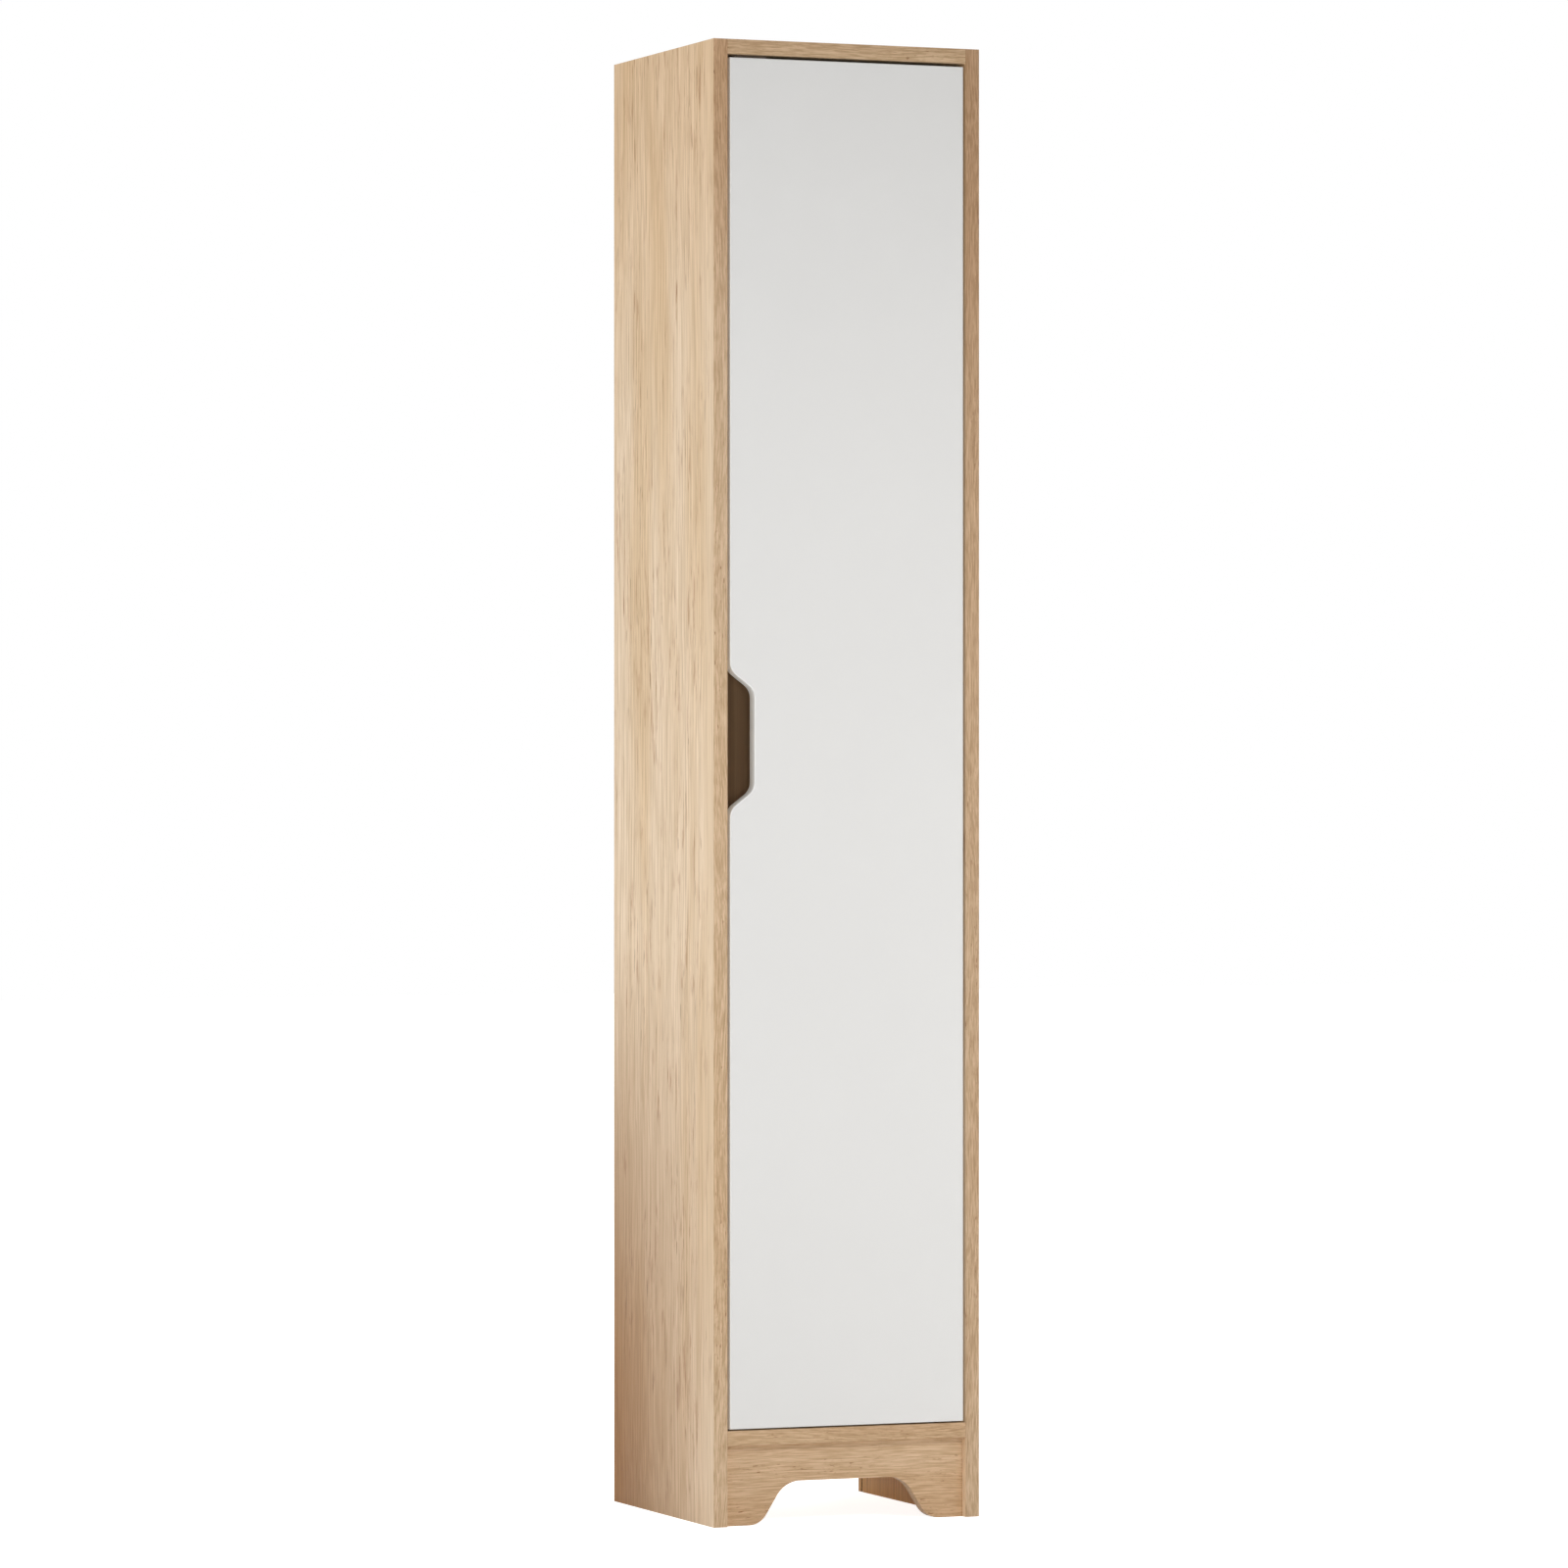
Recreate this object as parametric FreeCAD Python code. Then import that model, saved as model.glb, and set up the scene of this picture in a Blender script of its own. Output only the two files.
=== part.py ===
import FreeCAD, Part
import math
import os

os.makedirs("parts", exist_ok=True)

# Tall one-door storage cabinet. Lengths are millimetres, angles are degrees.
# X runs to the right, Y runs from the front to the wall, Z runs up.
# The origin lies on the floor under the middle of the cabinet.

# Carcass
overall_height = 1800.0
overall_width = 350.0
overall_depth = 340.0
board_thickness = 18.0
edging_thickness = 0.8

# Plinth, with an arch whose two ends are ogee curves
plinth_height = 98.0
plinth_setback = 10.0
plinth_thickness = 16.0
arch_height = 52.0
foot_flat_width = 32.0
foot_round_radius = 26.0
crown_round_radius = 36.0
arch_slope_angle = 58.0

# Back panel, held in grooves of the sides and the top
back_thickness = 3.0
back_inset = 10.0
groove_depth = 8.0
groove_play = 0.2
back_edge_play = 0.5

# Inset door with rounded edges and a finger notch in its free edge
door_thickness = 16.0
door_side_gap = 3.2
door_top_gap = 4.2
door_bottom_gap = 2.0
door_edge_radius = 1.5
notch_centre_height = 952.0
notch_depth = 32.0
notch_straight_length = 101.0
notch_outer_radius = 20.0
notch_inner_radius = 20.0
notch_slope_angle = 53.0

# Shelves
shelf_count = 4
shelf_count_below_fixed = 1
shelf_setback = 44.0
shelf_end_play = 1.0
shelf_rear_play = 2.0

# Shelf pins and their rows of holes
pin_hole_radius = 2.5
pin_hole_depth = 9.0
pin_hole_pitch = 32.0
pin_holes_per_group = 3
pin_row_inset = 40.0
pin_stem_radius = 2.45
pin_stem_length = 8.5
pin_collar_radius = 3.6
pin_collar_thickness = 0.8
pin_peg_radius = 3.0
pin_peg_length = 7.0

# Cam fittings and dowels that join the boards
fitting_inset = 48.0
fitting_spacing = 32.0
bolt_hole_radius = 2.5
bolt_hole_depth = 11.0
bolt_thread_radius = 2.4
bolt_thread_length = 10.5
bolt_bore_radius = 4.0
bolt_shank_radius = 3.2
bolt_shank_length = 22.0
bolt_neck_radius = 1.9
bolt_head_radius = 3.4
bolt_head_length = 2.8
cam_centre_inset = 34.0
cam_radius = 7.4
cam_height = 13.4
cam_housing_play = 0.1
cam_housing_depth = 13.8
cam_slot_height = 7.6
cam_slot_width = 8.0
cam_slot_depth = 10.0
cam_recess_depth = 3.0
cam_recess_length = 9.0
cam_recess_width = 1.8
dowel_radius = 4.0
dowel_length = 30.0
dowel_side_depth = 11.0
dowel_end_play = 0.5
plinth_dowel_inset = 22.0
plinth_dowel_corner_inset = 60.0

# Nails through the back panel
nail_count = 3
nail_end_inset = 40.0
nail_shank_radius = 0.8
nail_shank_length = 18.0
nail_head_radius = 2.4
nail_head_thickness = 0.7

# Concealed hinges: a cup in the door, a gooseneck arm and a plate on the right side
hinge_end_inset = 100.0
cup_radius = 17.4
cup_bore_play = 0.1
cup_edge_distance = 4.5
cup_depth = 11.5
cup_wall = 1.0
cup_floor = 0.8
flange_thickness = 1.2
flange_radius = 19.0
ear_spacing = 48.0
ear_offset = 6.0
ear_radius = 6.5
pivot_edge_distance = 15.5
pivot_depth = 7.6
pivot_pin_radius = 1.5
pivot_pin_play = 0.1
cheek_inner = 8.0
cheek_outer = 12.0
cheek_radius = 3.0
door_opening_angle = 100.0
door_opening_gap = 1.2
arm_half_width = 7.4
arm_metal = 1.5
eye_radius = 2.8
neck_thickness = 6.9
neck_front_bend = 5.0
neck_rear_depth = 24.0
arm_bend_depth = 48.0
arm_rear_depth = 104.0
arm_height = 13.5
arm_underside = 3.0
plate_screw_depth = 37.0
plate_screw_spacing = 32.0
plate_thickness = 2.0
plate_wing_radius = 8.0
plate_front_margin = 9.0
rail_half_width = 5.6
rail_top_gap = 0.4
rail_rear_margin = 6.0

# Screws
screw_head_radius = 3.4
screw_head_height = 2.2
screw_head_taper = 1.1
cup_screw_radius = 1.9
cup_screw_length = 12.0
plate_screw_radius = 2.4
plate_screw_length = 11.5
arm_screw_radius = 2.4
arm_screw_front_depth = 60.0
arm_screw_rear_depth = 84.0
screw_point_length = 2.0
screw_hole_play = 0.15

# Magnetic catch under the top panel and its strike plate on the door
catch_length = 46.0
catch_body_length = 24.0
catch_depth = 15.0
catch_height = 17.0
catch_ear_height = 5.0
catch_side_inset = 14.0
catch_corner = 2.0
catch_screw_spacing = 34.0
catch_screw_length = 12.0
catch_screw_radius = 1.6
magnet_length = 19.0
magnet_height = 4.0
magnet_depth = 11.0
magnet_plate_thickness = 1.2
magnet_proud = 0.8
magnet_play = 0.1
strike_length = 48.0
strike_height = 14.0
strike_thickness = 1.2
strike_top_margin = 1.0
strike_corner = 2.0
strike_screw_spacing = 36.0

# Anti-tip bracket at the top rear
bracket_width = 30.0
bracket_leg = 36.0
bracket_metal = 2.0
bracket_bend_radius = 3.0
bracket_screw_inset = 11.0
bracket_screw_spacing = 16.0
bracket_screw_length = 13.0
bracket_screw_radius = 2.0
wall_screw_hole_radius = 2.75
wall_screw_drop = 24.0
back_clear_hole_radius = 4.0

# Shared construction values: how far a cut overruns its board, and how many sides round
# hardware is drawn with
overrun = 1.0
same_point_distance = 0.000001
hidden_sides = 6
small_sides = 8
disc_sides = 12
cup_sides = 16
bend_steps = 2
quarter_turn = 90.0

# Directions
right = FreeCAD.Vector(1, 0, 0)
left = FreeCAD.Vector(-1, 0, 0)
inward = FreeCAD.Vector(0, 1, 0)
outward = FreeCAD.Vector(0, -1, 0)
up = FreeCAD.Vector(0, 0, 1)
down = FreeCAD.Vector(0, 0, -1)

# Faces of the carcass
left_outer = -overall_width / 2
left_inner = left_outer + board_thickness
right_outer = overall_width / 2
right_inner = right_outer - board_thickness
front_face = -overall_depth / 2
board_front = front_face + edging_thickness
rear_face = overall_depth / 2
back_rear = rear_face - back_inset
back_front = back_rear - back_thickness
bottom_top = plinth_height + board_thickness
top_under = overall_height - board_thickness
inner_width = right_inner - left_inner

# Faces of the door
door_left = left_inner + door_side_gap
door_right = right_inner - door_side_gap
door_bottom = bottom_top + door_bottom_gap
door_top = top_under - door_top_gap
door_back = front_face + door_thickness

# Shelves stand at even heights, counted from the bottom
bay_height = (top_under - bottom_top - shelf_count * board_thickness) / (shelf_count + 1)
shelf_front = front_face + shelf_setback
shelf_heights = []
for number in range(1, shelf_count + 1):
    shelf_heights.append(bottom_top + number * bay_height + (number - 1) * board_thickness)
fixed_shelf_height = shelf_heights[shelf_count_below_fixed]
loose_shelf_heights = [height for height in shelf_heights if height != fixed_shelf_height]

# Hinges: near both ends of the door and at its middle
hinge_heights = {
    "bottom": door_bottom + hinge_end_inset,
    "middle": (door_bottom + door_top) / 2,
    "top": door_top - hinge_end_inset,
}
cup_centre_x = door_right - cup_edge_distance - cup_radius - cup_bore_play
pivot_x = door_right - pivot_edge_distance
pivot_y = door_back - pivot_depth
plate_screw_y = door_back + plate_screw_depth
arm_top_x = right_inner - arm_height

# The three boards that cam fittings and dowels fasten between the sides
fastened_boards = {
    "top_panel": (board_front, rear_face, top_under),
    "bottom_panel": (board_front, back_front, plinth_height),
    "fixed_shelf": (shelf_front + edging_thickness, back_front, fixed_shelf_height),
}


def save(name, shape):
    shape.exportStep("parts/" + name + ".step")


def block(x_from, x_to, y_from, y_to, z_from, z_to):
    corner = FreeCAD.Vector(x_from, y_from, z_from)
    return Part.makeBox(x_to - x_from, y_to - y_from, z_to - z_from, corner)


# The corners of a regular polygon round the Z axis, measured to the middle of its flats.
# Small turned hardware and its bores are many-sided, with a flat towards each axis.
def ring(radius, along, sides):
    corner_radius = radius / math.cos(math.pi / sides)
    step = 2 * math.pi / sides
    points = []
    for side in range(sides):
        angle = (side + 0.5) * step
        across = corner_radius * math.cos(angle)
        points.append(FreeCAD.Vector(across, corner_radius * math.sin(angle), along))
    return points


def polygon_face(points):
    return Part.Face(Part.makePolygon(points + [points[0]]))


def rod(radius, start, direction, length, sides=small_sides):
    solid = polygon_face(ring(radius, 0, sides)).extrude(FreeCAD.Vector(0, 0, length))
    solid.Placement = FreeCAD.Placement(start, FreeCAD.Rotation(up, direction))
    return solid


# A turned piece: the outline is a list of (distance along the axis, radius)
def turned(outline, start, direction, sides=small_sides):
    rings = [ring(radius, along, sides) for along, radius in outline]
    faces = []
    for first, second in zip(rings, rings[1:] + rings[:1]):
        for side in range(sides):
            beside = (side + 1) % sides
            corners = []
            for corner in (first[side], first[beside], second[beside], second[side]):
                if not any(corner.isEqual(other, same_point_distance) for other in corners):
                    corners.append(corner)
            if len(corners) > 2:
                faces.append(polygon_face(corners))
    solid = Part.makeSolid(Part.makeShell(faces)).removeSplitter()
    solid.Placement = FreeCAD.Placement(start, FreeCAD.Rotation(up, direction))
    return solid


# A flat shape standing on a closed chain of edges, pushed out along one direction
def extruded(edges, direction, length):
    wire = Part.Wire(Part.__sortEdges__(edges))
    return Part.Face(wire).extrude(FreeCAD.Vector(direction).multiply(length))


def fused(shapes):
    return shapes[0].multiFuse(shapes[1:]).removeSplitter()


def line(start, end):
    return Part.LineSegment(start, end).toShape()


# An S-bend between two parallel runs: an arc, a straight slope and an arc back.
# It starts along one direction and ends the offset away across it.
def s_bend(start, along, across, offset, first_radius, second_radius, angle):
    sine = math.sin(math.radians(angle))
    cosine = math.cos(math.radians(angle))
    half_sine = math.sin(math.radians(angle) / 2)
    half_cosine = math.cos(math.radians(angle) / 2)
    slope_length = (offset - (first_radius + second_radius) * (1 - cosine)) / sine

    def moved(point, forward, sideways):
        return point + FreeCAD.Vector(along) * forward + FreeCAD.Vector(across) * sideways

    first_middle = moved(start, first_radius * half_sine, first_radius * (1 - half_cosine))
    first_end = moved(start, first_radius * sine, first_radius * (1 - cosine))
    second_start = moved(first_end, slope_length * cosine, slope_length * sine)
    end = moved(second_start, second_radius * sine, second_radius * (1 - cosine))
    second_middle = moved(end, -second_radius * half_sine, -second_radius * (1 - half_cosine))
    edges = [
        Part.Arc(start, first_middle, first_end).toShape(),
        line(first_end, second_start),
        Part.Arc(second_start, second_middle, end).toShape(),
    ]
    return edges, end


# A pan-head screw; its head sits on the surface at the start point
def screw(start, direction, shank_radius, shank_length):
    outline = [
        (-screw_head_height, 0),
        (-screw_head_height, screw_head_radius - screw_head_taper),
        (0, screw_head_radius),
        (0, shank_radius),
        (shank_length - screw_point_length, shank_radius),
        (shank_length, 0),
    ]
    return turned(outline, start, direction)


# Distances from the front at which cam bolts and dowels enter one board
def fitting_rows(board_name):
    front, rear, underside = fastened_boards[board_name]
    bolts = (front + fitting_inset, rear - fitting_inset)
    dowels = (bolts[0] + fitting_spacing, bolts[1] - fitting_spacing)
    return bolts, dowels, underside


# The bores for bolts, cams and dowels in one end of a board, or in the side beside it
def end_bores(board_name, inner_face, away):
    bolts, dowels, underside = fitting_rows(board_name)
    middle = underside + board_thickness / 2
    to_board = FreeCAD.Vector(-away, 0, 0)
    bores = []
    for row in bolts:
        start = FreeCAD.Vector(inner_face + away * overrun, row, middle)
        bores.append(rod(bolt_bore_radius, start, to_board, cam_centre_inset + overrun, hidden_sides))
        cam_foot = FreeCAD.Vector(inner_face - away * cam_centre_inset, row, underside - overrun)
        bores.append(rod(cam_radius + cam_housing_play, cam_foot, up, cam_housing_depth + overrun))
    for row in dowels:
        start = FreeCAD.Vector(inner_face + away * overrun, row, middle)
        depth = dowel_length - dowel_side_depth + dowel_end_play
        bores.append(rod(dowel_radius, start, to_board, depth + overrun, hidden_sides))
    return bores


def side_bores(board_name, inner_face, away):
    bolts, dowels, underside = fitting_rows(board_name)
    middle = underside + board_thickness / 2
    into_side = FreeCAD.Vector(away, 0, 0)
    bores = []
    for row in bolts:
        start = FreeCAD.Vector(inner_face - away * overrun, row, middle)
        bores.append(rod(bolt_hole_radius, start, into_side, bolt_hole_depth + overrun, hidden_sides))
    for row in dowels:
        start = FreeCAD.Vector(inner_face - away * overrun, row, middle)
        bores.append(rod(dowel_radius, start, into_side, dowel_side_depth + dowel_end_play + overrun,
                         hidden_sides))
    return bores


# Where the dowels of the plinth lie: in its two ends and in its top edge
plinth_front = front_face + plinth_setback
plinth_rear = plinth_front + plinth_thickness
plinth_middle = (plinth_front + plinth_rear) / 2
plinth_end_heights = (
    plinth_height - plinth_dowel_inset,
    plinth_height - plinth_dowel_inset - fitting_spacing,
)
plinth_top_places = (left_inner + plinth_dowel_corner_inset, right_inner - plinth_dowel_corner_inset)

# Columns of shelf-pin holes, measured from the front and the rear of the loose shelves
pin_columns = (
    shelf_front + pin_row_inset,
    back_front - shelf_rear_play - pin_row_inset,
)


def dowel(middle, direction):
    start = middle - FreeCAD.Vector(direction) * dowel_side_depth
    return rod(dowel_radius, start, direction, dowel_length, hidden_sides)


# The side panels: full-height boards, bored and grooved on their inner faces
def make_side_panel(name, inner_face, away):
    outer_face = inner_face + away * board_thickness
    panel = block(min(inner_face, outer_face), max(inner_face, outer_face),
                  board_front, rear_face, 0, overall_height)
    groove_floor = inner_face + away * groove_depth
    groove_mouth = inner_face - away * overrun
    cuts = [block(min(groove_floor, groove_mouth), max(groove_floor, groove_mouth),
                  back_front - groove_play / 2, back_rear + groove_play / 2,
                  -overrun, overall_height + overrun)]
    for board_name in fastened_boards:
        cuts += side_bores(board_name, inner_face, away)
    into_side = FreeCAD.Vector(away, 0, 0)
    for height in loose_shelf_heights:
        for step in range(pin_holes_per_group):
            hole_height = height - pin_peg_radius + (step - (pin_holes_per_group - 1) / 2) * pin_hole_pitch
            for column in pin_columns:
                start = FreeCAD.Vector(inner_face - away * overrun, column, hole_height)
                cuts.append(rod(pin_hole_radius, start, into_side, pin_hole_depth + overrun, hidden_sides))
    for height in plinth_end_heights:
        start = FreeCAD.Vector(inner_face - away * overrun, plinth_middle, height)
        cuts.append(rod(dowel_radius, start, into_side, dowel_side_depth + dowel_end_play + overrun,
                        hidden_sides))
    if away > 0:
        for hinge_height in hinge_heights.values():
            for sign in (-1, 1):
                start = FreeCAD.Vector(inner_face - overrun, plate_screw_y,
                                       hinge_height + sign * plate_screw_spacing / 2)
                cuts.append(rod(plate_screw_radius, start, into_side,
                                plate_screw_length - plate_thickness + overrun))
    save(name, panel.cut(Part.makeCompound(cuts)))
    edging = block(min(inner_face, outer_face), max(inner_face, outer_face),
                   front_face, board_front, 0, overall_height)
    save(name.replace("panel", "edging"), edging)


make_side_panel("left_side_panel", left_inner, -1)
make_side_panel("right_side_panel", right_inner, 1)


# The boards between the sides, each with its strip of edging
def make_board(name, x_from, x_to, y_from, y_to, underside, cuts):
    board = block(x_from, x_to, y_from + edging_thickness, y_to, underside, underside + board_thickness)
    if cuts:
        board = board.cut(Part.makeCompound(cuts))
    save(name, board)
    save(name.replace("_panel", "") + "_edging",
         block(x_from, x_to, y_from, y_from + edging_thickness, underside, underside + board_thickness))


def nail_places():
    step = (inner_width - 2 * nail_end_inset) / (nail_count - 1)
    return [left_inner + nail_end_inset + number * step for number in range(nail_count)]


def nail_bores(underside):
    bores = []
    for place in nail_places():
        start = FreeCAD.Vector(place, back_rear + overrun, underside + board_thickness / 2)
        bores.append(rod(nail_shank_radius, start, outward, nail_shank_length + overrun, hidden_sides))
    return bores


top_cuts = end_bores("top_panel", left_inner, -1) + end_bores("top_panel", right_inner, 1)
top_cuts.append(block(left_inner - overrun, right_inner + overrun,
                      back_front - groove_play / 2, back_rear + groove_play / 2,
                      top_under - overrun, top_under + groove_depth))
catch_screw_y = door_back + strike_thickness + magnet_proud + catch_depth / 2
catch_middle_x = left_inner + catch_side_inset + catch_length / 2
bracket_screw_y = back_front - bracket_leg + bracket_screw_inset
for sign in (-1, 1):
    top_cuts.append(rod(catch_screw_radius,
                        FreeCAD.Vector(catch_middle_x + sign * catch_screw_spacing / 2, catch_screw_y,
                                       top_under - overrun),
                        up, catch_screw_length + overrun))
    top_cuts.append(rod(bracket_screw_radius,
                        FreeCAD.Vector(sign * bracket_screw_spacing / 2, bracket_screw_y,
                                       top_under - overrun),
                        up, bracket_screw_length + overrun))
make_board("top_panel", left_inner, right_inner, front_face, rear_face, top_under, top_cuts)

bottom_cuts = end_bores("bottom_panel", left_inner, -1) + end_bores("bottom_panel", right_inner, 1)
bottom_cuts += nail_bores(plinth_height)
for place in plinth_top_places:
    bottom_cuts.append(rod(dowel_radius, FreeCAD.Vector(place, plinth_middle, plinth_height - overrun),
                           up, dowel_side_depth + dowel_end_play + overrun, hidden_sides))
make_board("bottom_panel", left_inner, right_inner, front_face, back_front, plinth_height, bottom_cuts)

fixed_cuts = end_bores("fixed_shelf", left_inner, -1) + end_bores("fixed_shelf", right_inner, 1)
fixed_cuts += nail_bores(fixed_shelf_height)
make_board("fixed_shelf", left_inner, right_inner, shelf_front, back_front, fixed_shelf_height, fixed_cuts)

for number, height in enumerate(loose_shelf_heights, start=1):
    make_board("loose_shelf_" + str(number), left_inner + shelf_end_play, right_inner - shelf_end_play,
               shelf_front, back_front - shelf_rear_play, height, [])


# The shelf pins: a stem in the side, a collar against it and a peg under the shelf, which
# rests on the upper flat of the peg
def shelf_pin(inner_face, away, column, shelf_height):
    start = FreeCAD.Vector(inner_face, column, shelf_height - pin_peg_radius)
    outline = [
        (-pin_stem_length, 0),
        (-pin_stem_length, pin_stem_radius),
        (0, pin_stem_radius),
        (0, pin_collar_radius),
        (pin_collar_thickness, pin_collar_radius),
        (pin_collar_thickness, pin_peg_radius),
        (pin_peg_length, pin_peg_radius),
        (pin_peg_length, 0),
    ]
    return turned(outline, start, FreeCAD.Vector(-away, 0, 0), hidden_sides)


for number, height in enumerate(loose_shelf_heights, start=1):
    pins = []
    for inner_face, away in ((left_inner, -1), (right_inner, 1)):
        for column in pin_columns:
            pins.append(shelf_pin(inner_face, away, column, height))
    save("shelf_pins_" + str(number), Part.makeCompound(pins))


# The back panel slides down the grooves and is nailed to the two fixed boards
back_panel = block(left_inner - groove_depth + back_edge_play, right_inner + groove_depth - back_edge_play,
                   back_front, back_rear, plinth_height, top_under + groove_depth - back_edge_play)
wall_screw_height = top_under - wall_screw_drop
back_cuts = nail_bores(plinth_height) + nail_bores(fixed_shelf_height)
back_cuts.append(rod(back_clear_hole_radius,
                     FreeCAD.Vector(0, back_front - overrun, wall_screw_height),
                     inward, back_thickness + overrun * 2, disc_sides))
save("back_panel", back_panel.cut(Part.makeCompound(back_cuts)))

nails = []
for underside in (plinth_height, fixed_shelf_height):
    for place in nail_places():
        start = FreeCAD.Vector(place, back_rear, underside + board_thickness / 2)
        outline = [
            (-nail_head_thickness, 0),
            (-nail_head_thickness, nail_head_radius),
            (0, nail_head_radius),
            (0, nail_shank_radius),
            (nail_shank_length, nail_shank_radius),
            (nail_shank_length, 0),
        ]
        nails.append(turned(outline, start, outward, hidden_sides))
save("back_panel_nails", Part.makeCompound(nails))


# The plinth board, cut away below by the arch
def make_plinth():
    foot_left = FreeCAD.Vector(left_inner + foot_flat_width, plinth_front, 0)
    foot_right = FreeCAD.Vector(right_inner - foot_flat_width, plinth_front, 0)
    rise_left, crown_left = s_bend(foot_left, right, up, arch_height,
                                   foot_round_radius, crown_round_radius, arch_slope_angle)
    rise_right, crown_right = s_bend(foot_right, left, up, arch_height,
                                     foot_round_radius, crown_round_radius, arch_slope_angle)
    corners = [
        foot_left,
        FreeCAD.Vector(left_inner, plinth_front, 0),
        FreeCAD.Vector(left_inner, plinth_front, plinth_height),
        FreeCAD.Vector(right_inner, plinth_front, plinth_height),
        FreeCAD.Vector(right_inner, plinth_front, 0),
        foot_right,
    ]
    edges = rise_left + rise_right + [line(crown_left, crown_right)]
    for start, end in zip(corners[:-1], corners[1:]):
        edges.append(line(start, end))
    board = extruded(edges, inward, plinth_thickness)
    bores = []
    depth = dowel_length - dowel_side_depth + dowel_end_play + overrun
    for inner_face, away in ((left_inner, -1), (right_inner, 1)):
        for height in plinth_end_heights:
            start = FreeCAD.Vector(inner_face + away * overrun, plinth_middle, height)
            bores.append(rod(dowel_radius, start, FreeCAD.Vector(-away, 0, 0), depth, hidden_sides))
    for place in plinth_top_places:
        start = FreeCAD.Vector(place, plinth_middle, plinth_height + overrun)
        bores.append(rod(dowel_radius, start, down, depth, hidden_sides))
    save("plinth_board", board.cut(Part.makeCompound(bores)))


make_plinth()


# Dowels, cam bolts and cam discs at every fastened joint
def cam_bolt(start, direction):
    outline = [
        (-bolt_thread_length, 0),
        (-bolt_thread_length, bolt_thread_radius),
        (0, bolt_thread_radius),
        (0, bolt_shank_radius),
        (bolt_shank_length, bolt_shank_radius),
        (bolt_shank_length, bolt_neck_radius),
        (cam_centre_inset - bolt_head_length / 2, bolt_neck_radius),
        (cam_centre_inset - bolt_head_length / 2, bolt_head_radius),
        (cam_centre_inset + bolt_head_length / 2, bolt_head_radius),
        (cam_centre_inset + bolt_head_length / 2, 0),
    ]
    return turned(outline, start, direction, hidden_sides)


# The disc is slotted from the board end for the head of the bolt, and from below for a driver
def cam_disc(centre_x, centre_y, underside, away):
    disc = rod(cam_radius, FreeCAD.Vector(centre_x, centre_y, underside), up, cam_height)
    slot_from = underside + board_thickness / 2 - cam_slot_height / 2
    mouth = centre_x + away * (cam_radius + overrun)
    slot_end = centre_x + away * (cam_radius - cam_slot_depth)
    slot = block(min(slot_end, mouth), max(slot_end, mouth),
                 centre_y - cam_slot_width / 2, centre_y + cam_slot_width / 2,
                 slot_from, slot_from + cam_slot_height)
    driver = block(centre_x - cam_recess_length / 2, centre_x + cam_recess_length / 2,
                   centre_y - cam_recess_width / 2, centre_y + cam_recess_width / 2,
                   underside - overrun, underside + cam_recess_depth)
    return disc.cut([slot, driver])


dowels = []
cam_bolts = []
cam_discs = []
for board_name in fastened_boards:
    bolt_rows, dowel_rows, underside = fitting_rows(board_name)
    middle = underside + board_thickness / 2
    for inner_face, away in ((left_inner, -1), (right_inner, 1)):
        to_board = FreeCAD.Vector(-away, 0, 0)
        for row in bolt_rows:
            cam_bolts.append(cam_bolt(FreeCAD.Vector(inner_face, row, middle), to_board))
            cam_discs.append(cam_disc(inner_face - away * cam_centre_inset, row, underside, away))
        for row in dowel_rows:
            dowels.append(dowel(FreeCAD.Vector(inner_face, row, middle), to_board))
for inner_face, away in ((left_inner, -1), (right_inner, 1)):
    for height in plinth_end_heights:
        dowels.append(dowel(FreeCAD.Vector(inner_face, plinth_middle, height), FreeCAD.Vector(-away, 0, 0)))
for place in plinth_top_places:
    dowels.append(dowel(FreeCAD.Vector(place, plinth_middle, plinth_height), down))
save("wooden_dowels", Part.makeCompound(dowels))
save("cam_bolts", Part.makeCompound(cam_bolts))
save("cam_discs", Part.makeCompound(cam_discs))

# Screw places of the hinge cups and of the strike plate, on the back of the door
cup_screw_places = []
for hinge_height in hinge_heights.values():
    for sign in (-1, 1):
        cup_screw_places.append(FreeCAD.Vector(cup_centre_x - ear_offset, door_back + flange_thickness,
                                               hinge_height + sign * ear_spacing / 2))
strike_middle_z = door_top - strike_top_margin - strike_height / 2
strike_screw_places = []
for sign in (-1, 1):
    strike_screw_places.append(FreeCAD.Vector(catch_middle_x + sign * strike_screw_spacing / 2,
                                              door_back + strike_thickness, strike_middle_z))


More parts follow.
